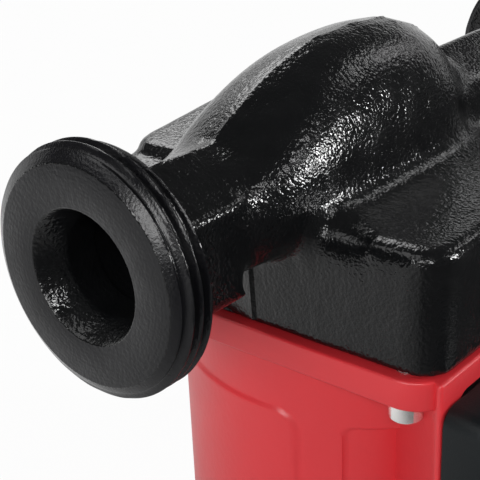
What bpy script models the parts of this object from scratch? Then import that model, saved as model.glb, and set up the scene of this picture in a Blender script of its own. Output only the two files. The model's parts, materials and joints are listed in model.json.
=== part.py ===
"""Wet-rotor circulator pump for a heating circuit, standing on the end of its motor.

Metres, +Z up. The motor axis is vertical, the two ports lie on one line along X and the terminal
box faces -Y. Every piece hangs on the empty pump_axis, which puts the motor axis where the whole
pump is centred over the origin.
"""
import math

import bmesh
import bpy

for item in list(bpy.data.objects):
    bpy.data.objects.remove(item, do_unlink=True)

# Fits
FIT = 0.0003  # gap between two pieces that touch
RUN = 0.0005  # gap round a piece that turns

# Ports and hydraulic casing
PORT_SPAN = 0.180  # face to face
PORT_Z = 0.102  # port axis above the floor
THREAD_R = 0.0239  # crest of the G 1 1/2 thread
THREAD_PITCH = 0.002309
THREAD_DEPTH = 0.00148
PORT_FACE_R = 0.0209
RING_LENGTH = 0.0082  # threaded ring
COLLAR_LENGTH = 0.0100  # fillet from the ring to the neck
BORE_R = 0.0100
MOUTH_R = 0.0129
MOUTH_DEPTH = 0.0041
NECK_R = 0.0148  # ridge of the neck over the port axis
NECK_HALF = 0.0128  # half its breadth between the upright sides
NECK_DROP = 0.0118  # its flat underside below the port axis
NECK_END_X = 0.0605  # the suction neck's flats end here, from the motor axis
NECK_STEP = 0.0004  # and stand this much proud of the duct
JOINT_Z = 0.0730  # joint between casing and motor
BLOCK_TOP_Z = 0.1000
BLOCK_INSET = 0.0008  # the block stands back from the flange
BLOCK_DRAFT = 0.0010  # the block is this much slimmer at the joint
BLOCK_CORNER = 0.0070
BLOCK_EDGE = 0.0030  # rounding of the upper edge
HUMP_TOP = 0.0276  # ridge of the suction duct above the port axis
HUMP_FOOT_X = 0.0540  # where the ridge leaves the neck, from the motor axis
HUMP_CREST_X = 0.0160  # where it is level
HUMP_WIDE_X = 0.0360  # where it has its full breadth
HUMP_HALF = 0.0174
FRONT_FULLNESS = 2.0  # its half towards the terminal box: 2 is an ellipse, more is squarer
BACK_FULLNESS = 2.75  # its other half
HUMP_START = 0.45  # share of the full arch right behind the neck
DUCT_DROP = 0.0123  # round underside of the duct below the port axis
DOME_FROM_X = 0.0065  # where the dome starts to close, behind the motor axis
DOME_R = 0.0240  # its end
CHAMBER_LEDGE = 0.0020  # the chamber is this much slimmer than the stator's seat
CHAMBER_HEIGHT = 0.0150
EYE_R = 0.0125
WELL_R = 0.0130  # hollow over the eye
DOME_WALL = 0.0070
DELIVERY_X = 0.0250  # inner end of the delivery bore
VOLUTE_FROM = 0.0355  # the raised back of the volute, from this far before the motor axis
VOLUTE_TO = 0.0340  # to this far behind it
VOLUTE_RISE = 0.0028  # over the block where it starts
VOLUTE_SLOPE = 0.1000  # and how fast it climbs
VOLUTE_INSET = 0.0004

# Flange and motor housing
FLANGE_LIP = 0.0008  # flange beyond the barrel
FLANGE_CORNER = 0.0090
FLANGE_THICK = 0.0067
STATOR_SEAT_R = 0.0390
HOUSING_WALL = 0.0058
RIM_ROUND = 0.0027  # rounding of the lower rim
END_LEDGE = 0.0030  # the recess in the motor's end is this much slimmer than the stator's seat
END_RECESS = 0.0050
END_WALL = 0.0042
PANEL_RISE = 0.0007  # raised field for a label
PANEL_TOP_Z = 0.0545
PANEL_FOOT_Z = 0.0100
PANEL_FROM = math.radians(107)
PANEL_TO = math.radians(193)
PANEL_CORNER = 0.0050
HOLLOW_DEPTH = 0.0007  # shallow field beside the terminal frame
HOLLOW_TOP_Z = 0.0525
HOLLOW_FROM = math.radians(206.5)
HOLLOW_TO = math.radians(219)
SCREW_ASIDE = 0.0004  # housing screws outside the corners of the terminal frame
SCREW_BACK = 0.0092  # and behind its front
SCREW_EDGE = 0.0052  # flange beyond their axes
SCREW_R = 0.0020
SCREW_HEAD_R = 0.0035
SCREW_HEAD = 0.0040
SCREW_REACH = 0.0110  # thread in the casing
SCREW_SOCKET_R = 0.00173
SCREW_SOCKET = 0.0022

# Terminal frame of the housing
FRAME_HALF = 0.0400
FRAME_DEPTH = 0.0028  # its pocket
FRAME_FLARE = 0.4715  # widening per unit of depth
FRAME_FOOT_Z = 0.0080
FRAME_WALL = 0.0035
FRAME_BAND = 0.0050  # band over the opening
POCKET_WALL = 0.0028  # between the pocket and the stator's seat

# Bearing plate, can, stator, rotor
PLATE_LEDGE = 0.0020  # the bearing plate is this much wider than the stator's seat
PLATE_THICK = 0.0033
HUB_R = 0.0125
HUB_LENGTH = 0.0136
STATOR_DEPTH = 0.0142  # from the can to the stator's seat
CAN_WALL = 0.0008
CAN_END_Z = 0.0177
NECK_BORE_R = 0.0064  # neck of the can, for the vent plug
NECK_OUT_R = 0.0093
O_RING_OUT = 0.0067  # middle of the O-ring outside the can
O_RING_SECTION = 0.00085
GASKET_SEAT = 0.0018
GASKET_WIDTH = 0.0034
STATOR_FOOT_Z = 0.0200
STATOR_LENGTH = 0.0320
SLOT_COUNT = 12
TOOTH_TIP = 0.0032  # iron between the can and the slots
YOKE = 0.0045  # iron outside the slots
SLOT_WIDTH = 0.0070
COIL_IN_GAP = 0.0022  # end turns outside the can
COIL_OUT_GAP = 0.0025  # and inside the stator's seat
WINDING_RISE = 0.0095  # end turns over the core
WINDING_DROP = 0.0076  # end turns under the core
SHAFT_R = 0.0050
SHAFT_FOOT_Z = 0.0140
BEARING_WALL = 0.0037
REAR_BEARING = 0.0054
THRUST_RING = 0.0047
THRUST_HOLDER = 0.0024
THRUST_R = 0.0100
ROTOR_GAP = 0.0007  # rotor inside the can
ROTOR_FOOT_Z = 0.0210
ROTOR_LENGTH = 0.0300
IMPELLER_RIM_GAP = 0.0040  # impeller inside the chamber
IMPELLER_GAP = 0.0024  # impeller over the bearing plate
SHROUD = 0.0016
IMPELLER_WIDTH = 0.0078  # at the rim
SKIRT_R = 0.0134
SKIRT_WALL = 0.0012
SKIRT_LAP = 0.0025  # skirt inside the wear ring
VANES = 6
VANE_THICK = 0.0016
VANE_SWEEP = math.radians(70)
WEAR_RING_WALL = 0.0016
WEAR_RING = 0.0037
NUT_R = 0.0078
NUT_HEIGHT = 0.0035

# Motor end
PLUG_HEAD_R = 0.0115
PLUG_HEAD = 0.0014
PLUG_THREAD_R = 0.0061
PLUG_REACH = 0.0084
PLUG_SLOT = 0.0016
SEAL_THICK = 0.0009
END_PLATE = 0.0010

# Terminal box
BOX_INSET = 0.0004  # the box stands back from the sides of the frame
BOX_TOP_Z = 0.0673
BOX_FOOT_Z = 0.0090
BOX_SLOPE = 0.0760  # fall of its roof per unit of depth
BOX_CORNER = 0.0040
BOX_WALL = 0.0030
BOX_FLOOR = 0.0022
BOX_DEPTH = 0.0171  # from the frame to the joint with the cover
BOX_JOINT = 0.0005
COVER_DEPTH = 0.0155
COVER_ROUND = 0.0050
COVER_WALL = 0.0025
COVER_GASKET = 0.0010
COVER_GASKET_DEEP = 0.0012
COVER_SCREW_IN = 0.0101  # cover screws inside the sides of the box
COVER_SCREW_Z = 0.0185
COVER_SCREW_R = 0.0016
COVER_HEAD_R = 0.0032
COVER_HEAD = 0.0016
BOSS_R = 0.0036
KNOB_IN = 0.0206  # knob inside the side of the box
KNOB_Z = 0.0490
KNOB_R = 0.0098
KNOB_PROUD = 0.0030
KNOB_BAR = 0.0050
STEM_R = 0.0040
SWITCH_SIDE = 0.0220
SWITCH_DEEP = 0.0214
CAPACITOR_R = 0.0090
CAPACITOR_IN = 0.0068  # one end inside the side of the box
CAPACITOR_GAP = 0.0012  # the other beside the grommet
CAPACITOR_Z = 0.0520
BLOCK_LENGTH = 0.0360
BLOCK_HEIGHT = 0.0140
BLOCK_DEEP = 0.0124
BLOCK_IN = 0.0176  # its end inside the side of the box
BLOCK_Z = 0.0250
POLE_STEP = 0.0120
POLE_R = 0.0022
POLE_SHANK_R = 0.0014
POLE_HEAD = 0.0017
WIRE_HOLE_R = 0.0017
SMALL_R = 0.0016  # shank of the box and earth screws
SMALL_HEAD_R = 0.0030
SMALL_HEAD = 0.0020
SMALL_REACH = 0.0055
EARTH_IN = 0.0106  # earth screw inside the side of the box
EARTH_Z = 0.0275
FIX_IN = (0.0111, 0.0176)  # box screws inside the two sides of the box
FIX_Z = (0.0370, 0.0345)
LEAD_ASIDE = 0.0004  # grommet beside the switch
LEAD_Z = 0.0575
LEAD_HOLE_R = 0.0040
GROMMET_HEAD_R = 0.0046
GROMMET_HEAD = 0.0014
GROMMET_BORE_R = 0.0026
LEAD_R = 0.0012
GLAND_Z = 0.0300
GLAND_DEEP = 0.0094  # gland axis in front of the terminal frame
GLAND_STUB_R = 0.0054
GLAND_BORE_R = 0.0038
GLAND_HEX_R = 0.0075
GLAND_HEX = 0.0040
GLAND_THREAD = 0.0061
LOCKNUT = 0.0028
GLAND_SEAL = 0.0027
GLAND_CAP_R = 0.0080
GLAND_CAP_WALL = 0.0016
GLAND_LIP = 0.0024

# Sizes and places that follow from those above
MOTOR_R = STATOR_SEAT_R + HOUSING_WALL
END_RECESS_R = STATOR_SEAT_R - END_LEDGE
PLATE_R = STATOR_SEAT_R + PLATE_LEDGE
CHAMBER_R = STATOR_SEAT_R - CHAMBER_LEDGE
IMPELLER_R = CHAMBER_R - IMPELLER_RIM_GAP
CAN_R = STATOR_SEAT_R - STATOR_DEPTH
ROTOR_R = CAN_R - CAN_WALL - ROTOR_GAP
O_RING_R = CAN_R + O_RING_OUT
SLOT_IN_R = CAN_R + TOOTH_TIP
SLOT_OUT_R = STATOR_SEAT_R - YOKE
WINDING_IN_R = CAN_R + COIL_IN_GAP
WINDING_OUT_R = STATOR_SEAT_R - COIL_OUT_GAP
FRAME_FLOOR = STATOR_SEAT_R + POCKET_WALL
FRAME_FRONT = FRAME_FLOOR + FRAME_DEPTH
SCREW_X = FRAME_HALF + SCREW_ASIDE
SCREW_Y = FRAME_FRONT - SCREW_BACK
FLANGE_HALF = max(MOTOR_R + FLANGE_LIP, SCREW_X + SCREW_EDGE)
BLOCK_HALF = FLANGE_HALF - BLOCK_INSET
BOX_HALF = FRAME_HALF - BOX_INSET
COVER_SCREW_X = BOX_HALF - COVER_SCREW_IN
KNOB_X = BOX_HALF - KNOB_IN
LEAD_X = KNOB_X - SWITCH_SIDE / 2 - GROMMET_HEAD_R - LEAD_ASIDE
CAPACITOR_LENGTH = BOX_HALF - CAPACITOR_IN + LEAD_X - GROMMET_HEAD_R - CAPACITOR_GAP
CAPACITOR_X = CAPACITOR_IN + CAPACITOR_LENGTH / 2 - BOX_HALF
BLOCK_X = BLOCK_IN + BLOCK_LENGTH / 2 - BOX_HALF
EARTH_X = EARTH_IN - BOX_HALF
FIX_X = (FIX_IN[0] - BOX_HALF, BOX_HALF - FIX_IN[1])
KNOB_FRONT = FRAME_FRONT + FIT + BOX_DEPTH + BOX_JOINT + COVER_DEPTH + KNOB_PROUD
AXIS_Y = (KNOB_FRONT - FLANGE_HALF) / 2

axis = bpy.data.objects.new("pump_axis", None)
axis.location = (0.0, AXIS_Y, 0.0)
bpy.context.scene.collection.objects.link(axis)


def coat(name, colour, roughness, metallic):
    """A plain finish of the given colour."""
    material = bpy.data.materials.new(name)
    material.use_nodes = True
    shader = material.node_tree.nodes["Principled BSDF"]
    shader.inputs["Base Color"].default_value = (*colour, 1.0)
    shader.inputs["Roughness"].default_value = roughness
    shader.inputs["Metallic"].default_value = metallic
    material.diffuse_color = (*colour, 1.0)
    return material


def piece(name, shape, material=None, place=(0.0, 0.0, 0.0), turn=(0.0, 0.0, 0.0)):
    """A named object on the pump's axis, from a bmesh with its faces turned out."""
    bmesh.ops.remove_doubles(shape, verts=shape.verts, dist=1e-7)
    bmesh.ops.recalc_face_normals(shape, faces=shape.faces)
    mesh = bpy.data.meshes.new(name)
    shape.to_mesh(mesh)
    shape.free()
    mesh.shade_smooth()
    mesh.set_sharp_from_angle(angle=math.radians(32))
    thing = bpy.data.objects.new(name, mesh)
    if material:
        mesh.materials.append(material)
    bpy.context.scene.collection.objects.link(thing)
    thing.parent = axis
    thing.location = place
    thing.rotation_euler = turn
    return thing


def shape_with(body, tool, operation):
    """One Boolean step; the tool stays in the file as a wire helper."""
    step = body.modifiers.new(tool.name, "BOOLEAN")
    step.operation = operation
    step.solver = "EXACT"
    step.object = tool
    tool.hide_render = True
    tool.display_type = "WIRE"


def cut(body, *tools):
    for tool in tools:
        shape_with(body, tool, "DIFFERENCE")


def join(body, *tools):
    for tool in tools:
        shape_with(body, tool, "UNION")


def turned(profile, steps=30):
    """A closed (radius, height) outline turned once round Z."""
    shape = bmesh.new()
    points = [shape.verts.new((r, 0.0, z)) for r, z in profile]
    edges = []
    for i, first in enumerate(points):
        second = points[(i + 1) % len(points)]
        if profile[i][0] > 0.0 or profile[(i + 1) % len(points)][0] > 0.0:
            edges.append(shape.edges.new((first, second)))
    bmesh.ops.spin(
        shape,
        geom=points + edges,
        cent=(0.0, 0.0, 0.0),
        axis=(0.0, 0.0, 1.0),
        angle=2.0 * math.pi,
        steps=steps,
        use_merge=True,
        use_duplicate=False,
    )
    return shape


def tube(inner, outer, low, high, steps=30, edge=0.0):
    """A ring about Z with its outer edges chamfered."""
    return turned(
        [
            (inner, high),
            (outer - edge, high),
            (outer, high - edge),
            (outer, low + edge),
            (outer - edge, low),
            (inner, low),
        ]
        if edge
        else [(inner, high), (outer, high), (outer, low), (inner, low)],
        steps,
    )


def rod(radius, low, high, steps=24):
    """A plain cylinder about Z."""
    return turned([(0.0, high), (radius, high), (radius, low), (0.0, low)], steps)


def loft(sections):
    """Closed loops of equally many points, skinned one to the next and capped."""
    shape = bmesh.new()
    rows = [[shape.verts.new(point) for point in section] for section in sections]
    count = len(rows[0])
    for near, far in zip(rows, rows[1:]):
        for i in range(count):
            j = (i + 1) % count
            shape.faces.new((near[i], near[j], far[j], far[i]))
    shape.faces.new(reversed(rows[0]))
    shape.faces.new(rows[-1])
    return shape


def rounded(half_x, low, high, corner, steps=4):
    """Rounded rectangle as (x, y) points, |x| up to half_x and y from low to high."""
    centres = (
        (half_x - corner, high - corner, 0.0),
        (corner - half_x, high - corner, 90.0),
        (corner - half_x, low + corner, 180.0),
        (half_x - corner, low + corner, 270.0),
    )
    points = []
    for x, y, start in centres:
        for i in range(steps + 1):
            a = math.radians(start + 90.0 * i / steps)
            points.append((x + corner * math.cos(a), y + corner * math.sin(a)))
    return points


def raised(outline, height):
    return [(x, y, height) for x, y in outline]


def slab(outline, low, high):
    """A straight prism along Z."""
    return loft([raised(outline, low), raised(outline, high)])


def polygon(radius, sides, start=0.0):
    step = 2.0 * math.pi / sides
    return [
        (radius * math.cos(start + step * i), radius * math.sin(start + step * i))
        for i in range(sides)
    ]


def merged(shapes):
    """Several closed shapes in one bmesh, for a cutter."""
    whole = bmesh.new()
    for shape in shapes:
        mesh = bpy.data.meshes.new("part_of_cutter")
        bmesh.ops.recalc_face_normals(shape, faces=shape.faces)
        shape.to_mesh(mesh)
        shape.free()
        whole.from_mesh(mesh)
        bpy.data.meshes.remove(mesh)
    return whole


def shifted(shape, x, y, z):
    bmesh.ops.translate(shape, verts=shape.verts, vec=(x, y, z))
    return shape


ALONG_X = (0.0, math.pi / 2, 0.0)  # Z of the shape points to +X
AGAINST_X = (0.0, -math.pi / 2, 0.0)
TO_FRONT = (math.pi / 2, 0.0, 0.0)  # Z of the shape points to -Y, its Y to +Z

black_paint = coat("black_paint", (0.013, 0.014, 0.016), 0.34, 0.0)
red_paint = coat("red_paint", (0.50, 0.030, 0.036), 0.38, 0.0)
bright_steel = coat("bright_steel", (0.78, 0.77, 0.75), 0.14, 1.0)
stainless = coat("stainless", (0.62, 0.62, 0.61), 0.28, 1.0)
lamination = coat("lamination", (0.21, 0.21, 0.22), 0.45, 1.0)
copper = coat("copper", (0.56, 0.23, 0.10), 0.35, 1.0)
ceramic = coat("ceramic", (0.86, 0.84, 0.78), 0.30, 0.0)
carbon = coat("carbon", (0.035, 0.035, 0.037), 0.45, 0.0)
rubber = coat("rubber", (0.018, 0.018, 0.018), 0.75, 0.0)
brass = coat("brass", (0.70, 0.47, 0.19), 0.27, 1.0)
nickel_brass = coat("nickel_brass", (0.63, 0.60, 0.55), 0.25, 1.0)
aluminium = coat("aluminium", (0.74, 0.75, 0.76), 0.34, 1.0)
black_plastic = coat("black_plastic", (0.022, 0.024, 0.027), 0.42, 0.0)
grey_plastic = coat("grey_plastic", (0.42, 0.43, 0.43), 0.45, 0.0)
cream_plastic = coat("cream_plastic", (0.74, 0.70, 0.58), 0.45, 0.0)
fibre = coat("fibre", (0.17, 0.19, 0.17), 0.80, 0.0)
plastic_wheel = coat("plastic_wheel", (0.07, 0.07, 0.075), 0.40, 0.0)

# Pump casing
# The suction duct: behind the roofed neck it swells into a ridged hump and ends in a dome over the eye.
PORT_HALF = PORT_SPAN / 2
LOBE_X = HUMP_CREST_X / 3  # the ridge starts down towards the dome's end here
DUCT_ANGLES = (90, 78, 66, 54, 42, 30, 18, 6, -15, -40, -65)  # from the ridge to the underside


def eased(x, start, end):
    """0 up to start before the motor axis, 1 from end on, rising fast at first."""
    part = min(1.0, max(0.0, (x + start) / (start - end)))
    return part * (2.0 - part)


def ridge_at(x):
    """Height of the ridge over the port axis at a place along X."""
    if x > -LOBE_X:
        base = HUMP_TOP * 0.36
        part = min(1.0, (x + LOBE_X) / (DOME_R + LOBE_X))
        return base + (HUMP_TOP - base) * math.sqrt(max(0.0, 1.0 - part * part))
    foot = NECK_R - NECK_STEP
    return foot + (HUMP_TOP - foot) * eased(x, HUMP_FOOT_X, HUMP_CREST_X)


def roof_point(angle, half, ridge):
    """On a roof that falls to half its height, with an upright side under it."""
    run = min(1.0, (90 - angle) / 60)
    return half * run, ridge * (1.0 - run / 2) * min(1.0, angle / 30)


def round_point(angle, half, ridge, fullness):
    """On a full round arch."""
    a = math.radians(angle)
    power = 2.0 / fullness
    return half * abs(math.cos(a)) ** power, ridge * math.sin(a) ** power


def duct_side(x, fullness):
    """Half a loop round the duct: a roof near the neck that turns into an arch, and a round underside."""
    ridge = ridge_at(x)
    swell = eased(x, NECK_END_X, HUMP_WIDE_X)
    crown = eased(x, NECK_END_X, 0.0)
    arch = HUMP_START + (1.0 - HUMP_START) * swell
    foot = NECK_HALF - NECK_STEP
    closing = max(0.0, x - DOME_FROM_X) / (DOME_R - DOME_FROM_X)
    half = (foot + (HUMP_HALF - foot) * swell) * math.sqrt(max(0.0, 1.0 - closing * closing))
    side = []
    for angle in DUCT_ANGLES:
        if angle < 0:
            a = math.radians(angle)
            side.append((half * math.cos(a), DUCT_DROP * math.sin(a)))
        else:
            share = arch + (crown - arch) * (angle / 90) ** 2
            y0, z0 = roof_point(angle, half, ridge)
            y1, z1 = round_point(angle, half, ridge, fullness)
            side.append((y0 + (y1 - y0) * share, z0 + (z1 - z0) * share))
    return side


def duct_section(x):
    loop = duct_side(x, BACK_FULLNESS) + [(0.0, -DUCT_DROP)]
    loop += [(-y, z) for y, z in reversed(duct_side(x, FRONT_FULLNESS)[1:])]
    return [(x, y, PORT_Z + z) for y, z in loop]


ridge_run = HUMP_FOOT_X - HUMP_CREST_X
dome_run = DOME_R + LOBE_X
stations = [-NECK_END_X - NECK_STEP * 4, -NECK_END_X, -(NECK_END_X + HUMP_FOOT_X) / 2]
stations += [-HUMP_FOOT_X + ridge_run * i / 8 for i in range(9)]
stations += [-LOBE_X + dome_run * math.sin(math.radians(a)) for a in (0, 20, 38, 53, 65, 75, 83)]
duct = piece("duct_shape", loft([duct_section(x) for x in stations]))

# The square block over the motor flange, with its upper edge rounded.
block_rows = []
for i in range(2):
    height = JOINT_Z if i == 0 else BLOCK_TOP_Z - BLOCK_EDGE
    block_rows.append((height, BLOCK_HALF - BLOCK_DRAFT * (1 - i), BLOCK_CORNER))
for i in range(1, 5):
    a = math.radians(90.0 * i / 4)
    inset = BLOCK_EDGE * (1.0 - math.cos(a))
    height = BLOCK_TOP_Z - BLOCK_EDGE * (1.0 - math.sin(a))
    block_rows.append((height, BLOCK_HALF - inset, BLOCK_CORNER - inset))
pump_casing = piece(
    "pump_casing",
    loft([raised(rounded(half, -half, half, corner), z) for z, half, corner in block_rows]),
    black_paint,
)

neck_outline = [
    (-NECK_R, 0.0),
    (-NECK_R / 2, NECK_HALF),
    (NECK_DROP, NECK_HALF),
    (NECK_DROP, -NECK_HALF),
    (-NECK_R / 2, -NECK_HALF),
]
suction_neck = piece(
    "suction_neck_shape",
    slab([(-z, y) for z, y in neck_outline], NECK_END_X, PORT_HALF - RING_LENGTH * 0.5),
    place=(0.0, 0.0, PORT_Z),
    turn=AGAINST_X,
)
delivery_neck = piece(
    "delivery_neck_shape",
    slab(neck_outline, DOME_R * 0.4, PORT_HALF - RING_LENGTH * 0.5),
    place=(0.0, 0.0, PORT_Z),
    turn=ALONG_X,
)

# The volute swells towards the delivery side, behind the hump.
VOLUTE_Y = BLOCK_HALF - VOLUTE_INSET
VOLUTE_MID_X = (VOLUTE_TO - VOLUTE_FROM) / 2
VOLUTE_HALF = (VOLUTE_TO + VOLUTE_FROM) / 2
volute_rows = []
for i in range(-1, 4):
    a = math.radians(max(0.0, 30.0 * i))
    inset = BLOCK_EDGE * (1.0 - math.cos(a))
    row = []
    for x, y in rounded(VOLUTE_HALF - inset, HUMP_HALF / 2 + inset, VOLUTE_Y - inset, BLOCK_CORNER - inset):
        top = BLOCK_TOP_Z + VOLUTE_RISE + (x + VOLUTE_HALF) * VOLUTE_SLOPE - BLOCK_EDGE * (1.0 - math.sin(a))
        row.append((x + VOLUTE_MID_X, y, BLOCK_TOP_Z - BLOCK_EDGE * 2 if i < 0 else top))
    volute_rows.append(row)
volute = piece("volute_shape", loft(volute_rows))
join(pump_casing, volute, duct, suction_neck, delivery_neck)

# Each port: a chamfered face, the thread's crests and roots, and a fillet down to the neck.
port_profile = [(0.0, PORT_HALF), (PORT_FACE_R, PORT_HALF)]
depth = (THREAD_R - THREAD_DEPTH - PORT_FACE_R) * 1.2
port_profile.append((THREAD_R - THREAD_DEPTH, PORT_HALF - depth))
while depth + THREAD_PITCH < RING_LENGTH:
    port_profile.append((THREAD_R, PORT_HALF - depth - THREAD_PITCH * 0.5))
    port_profile.append((THREAD_R - THREAD_DEPTH, PORT_HALF - depth - THREAD_PITCH))
    depth += THREAD_PITCH
port_profile.append((THREAD_R - THREAD_DEPTH, PORT_HALF - RING_LENGTH))
for i in range(1, 5):
    a = math.radians(90.0 * i / 4)
    drop = THREAD_R - THREAD_DEPTH - NECK_HALF * 0.97
    port_profile.append(
        (
            THREAD_R - THREAD_DEPTH - drop * math.sin(a),
            PORT_HALF - RING_LENGTH - COLLAR_LENGTH * (1.0 - math.cos(a)),
        )
    )
port_profile.append((0.0, PORT_HALF - RING_LENGTH - COLLAR_LENGTH))
for turn, label in ((AGAINST_X, "suction"), (ALONG_X, "delivery")):
    port = piece(label + "_port_shape", turned(port_profile, 36), place=(0.0, 0.0, PORT_Z), turn=turn)
    join(pump_casing, port)


def bore_profile(inner_end):
    """Bore of a port with its tapered mouth."""
    return [
        (0.0, PORT_HALF + MOUTH_DEPTH),
        (MOUTH_R + (MOUTH_R - BORE_R), PORT_HALF + MOUTH_DEPTH),
        (BORE_R, PORT_HALF - MOUTH_DEPTH),
        (BORE_R, inner_end),
        (0.0, inner_end),
    ]


cut(
    pump_casing,
    piece("suction_bore", turned(bore_profile(WELL_R * 0.3), 24), place=(0.0, 0.0, PORT_Z), turn=AGAINST_X),
    piece("delivery_bore", turned(bore_profile(DELIVERY_X), 24), place=(0.0, 0.0, PORT_Z), turn=ALONG_X),
)

# Chamber for the impeller, seat of the gasket, seat of the wear ring and the hollow over the eye.
GASKET_R = CHAMBER_R + GASKET_WIDTH + 2 * FIT
CHAMBER_TOP = JOINT_Z + CHAMBER_HEIGHT
WEAR_IN_R = SKIRT_R + RUN
WEAR_SEAT_R = WEAR_IN_R + WEAR_RING_WALL + FIT
WEAR_SEAT_TOP = CHAMBER_TOP + WEAR_RING + FIT
WELL_TOP = PORT_Z + HUMP_TOP - DOME_WALL
chamber = piece(
    "chamber",
    turned(
        [
            (0.0, WELL_TOP),
            (WELL_R * 0.4, WELL_TOP),
            (WELL_R * 0.8, WELL_TOP - WELL_R * 0.3),
            (WELL_R, WELL_TOP - WELL_R * 0.75),
            (WELL_R, WEAR_SEAT_TOP + EYE_R * 0.3),
            (EYE_R, WEAR_SEAT_TOP + EYE_R * 0.25),
            (EYE_R, WEAR_SEAT_TOP),
            (WEAR_SEAT_R, WEAR_SEAT_TOP),
            (WEAR_SEAT_R, CHAMBER_TOP),
            (CHAMBER_R, CHAMBER_TOP),
            (CHAMBER_R, JOINT_Z + GASKET_SEAT),
            (GASKET_R, JOINT_Z + GASKET_SEAT),
            (GASKET_R, JOINT_Z - GASKET_SEAT),
            (0.0, JOINT_Z - GASKET_SEAT),
        ]
    ),
)
slot_end = CHAMBER_R - FIT * 4
delivery_slot = piece(
    "delivery_slot",
    slab(
        [
            (DELIVERY_X, -BORE_R * 0.9),
            (slot_end, -BORE_R * 0.9),
            (slot_end, BORE_R * 0.9),
            (DELIVERY_X, BORE_R * 0.9),
        ],
        CHAMBER_TOP - GASKET_SEAT,
        PORT_Z,
    ),
)
cut(pump_casing, chamber, delivery_slot)
screw_places = [(-SCREW_X, -SCREW_Y), (SCREW_X, -SCREW_Y), (SCREW_X, SCREW_Y), (-SCREW_X, SCREW_Y)]
casing_holes = piece(
    "casing_holes",
    merged(
        [
            shifted(rod(SCREW_R + FIT, JOINT_Z - SCREW_REACH, JOINT_Z + SCREW_REACH + FIT, 16), x, y, 0.0)
            for x, y in screw_places
        ]
    ),
)
cut(pump_casing, casing_holes)

# Wear ring and gasket, both pressed into the casing
wear_ring = piece(
    "wear_ring",
    tube(WEAR_IN_R, WEAR_IN_R + WEAR_RING_WALL, CHAMBER_TOP, CHAMBER_TOP + WEAR_RING, 30),
    stainless,
)
FLANGE_TOP = JOINT_Z - FIT
PLATE_TOP = FLANGE_TOP - FIT / 3
casing_gasket = piece(
    "casing_gasket",
    tube(CHAMBER_R + FIT, CHAMBER_R + FIT + GASKET_WIDTH, PLATE_TOP + FIT, JOINT_Z + GASKET_SEAT - FIT),
    fibre,
)

# Motor housing
FLANGE_FOOT = FLANGE_TOP - FLANGE_THICK
motor_housing = piece(
    "motor_housing",
    turned(
        [
            (0.0, FLANGE_FOOT + FLANGE_THICK / 2),
            (MOTOR_R, FLANGE_FOOT + FLANGE_THICK / 2),
            (MOTOR_R, RIM_ROUND),
            (MOTOR_R - RIM_ROUND * 0.3, RIM_ROUND * 0.3),
            (MOTOR_R - RIM_ROUND, 0.0),
            (0.0, 0.0),
        ],
        54,
    ),
    red_paint,
)
flange = piece(
    "flange_shape",
    slab(rounded(FLANGE_HALF, FIT - FRAME_FRONT, FLANGE_HALF, FLANGE_CORNER, 6), FLANGE_FOOT, FLANGE_TOP),
)
frame_back = FRAME_FRONT - MOTOR_R * 0.5
frame_outline = [
    (-FRAME_HALF + frame_back * FRAME_FLARE, -FRAME_FRONT + frame_back),
    (-FRAME_HALF + RIM_ROUND * FRAME_FLARE * 0.5, -FRAME_FRONT + RIM_ROUND * 0.5),
    (-FRAME_HALF + RIM_ROUND * 0.4, -FRAME_FRONT),
    (FRAME_HALF - RIM_ROUND * 0.4, -FRAME_FRONT),
    (FRAME_HALF - RIM_ROUND * FRAME_FLARE * 0.5, -FRAME_FRONT + RIM_ROUND * 0.5),
    (FRAME_HALF - frame_back * FRAME_FLARE, -FRAME_FRONT + frame_back),
]
frame_block = piece("frame_shape", slab(frame_outline, FRAME_FOOT_Z, FLANGE_TOP))


def wrapped(angle_from, angle_to, low, high, corner, inner, outer, steps):
    """A rounded field bent round the motor axis, built from upright columns."""
    sections = []
    length = (angle_to - angle_from) * outer
    for i in range(steps + 1):
        run = length * i / steps
        edge = min(run, length - run)
        lift = 0.0
        if edge < corner:
            lift = corner - math.sqrt(max(0.0, corner * corner - (corner - edge) ** 2))
            lift = min(lift, corner * 0.8)
        a = angle_from + run / outer
        c = math.cos(a)
        s = math.sin(a)
        sections.append(
            [
                (inner * c, inner * s, low + lift),
                (outer * c, outer * s, low + lift),
                (outer * c, outer * s, high - lift),
                (inner * c, inner * s, high - lift),
            ]
        )
    return loft(sections)


label_panel = piece(
    "panel_shape",
    wrapped(
        PANEL_FROM,
        PANEL_TO,
        PANEL_FOOT_Z,
        PANEL_TOP_Z,
        PANEL_CORNER,
        MOTOR_R - PANEL_RISE * 3,
        MOTOR_R + PANEL_RISE,
        30,
    ),
)
join(motor_housing, flange, frame_block, label_panel)
hollow = piece(
    "hollow",
    wrapped(
        HOLLOW_FROM,
        HOLLOW_TO,
        RIM_ROUND * 2,
        HOLLOW_TOP_Z,
        PANEL_CORNER / 2,
        MOTOR_R - HOLLOW_DEPTH,
        MOTOR_R + PANEL_RISE * 3,
        8,
    ),
)
PLATE_SEAT_R = PLATE_R + FIT
PLATE_FOOT = PLATE_TOP - PLATE_THICK
BRIM_TOP = PLATE_FOOT - FIT
BRIM_FOOT = BRIM_TOP - CAN_WALL
HOUSING_FLOOR = END_RECESS + END_WALL
NECK_HOLE_R = NECK_OUT_R + FIT
inside = piece(
    "housing_inside",
    turned(
        [
            (0.0, JOINT_Z + FLANGE_THICK),
            (PLATE_SEAT_R, JOINT_Z + FLANGE_THICK),
            (PLATE_SEAT_R, BRIM_FOOT - FIT),
            (STATOR_SEAT_R, BRIM_FOOT - FIT),
            (STATOR_SEAT_R, HOUSING_FLOOR),
            (NECK_HOLE_R, HOUSING_FLOOR),
            (NECK_HOLE_R, END_RECESS),
            (END_RECESS_R, END_RECESS),
            (END_RECESS_R, -END_RECESS),
            (0.0, -END_RECESS),
        ],
        40,
    ),
)
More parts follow.
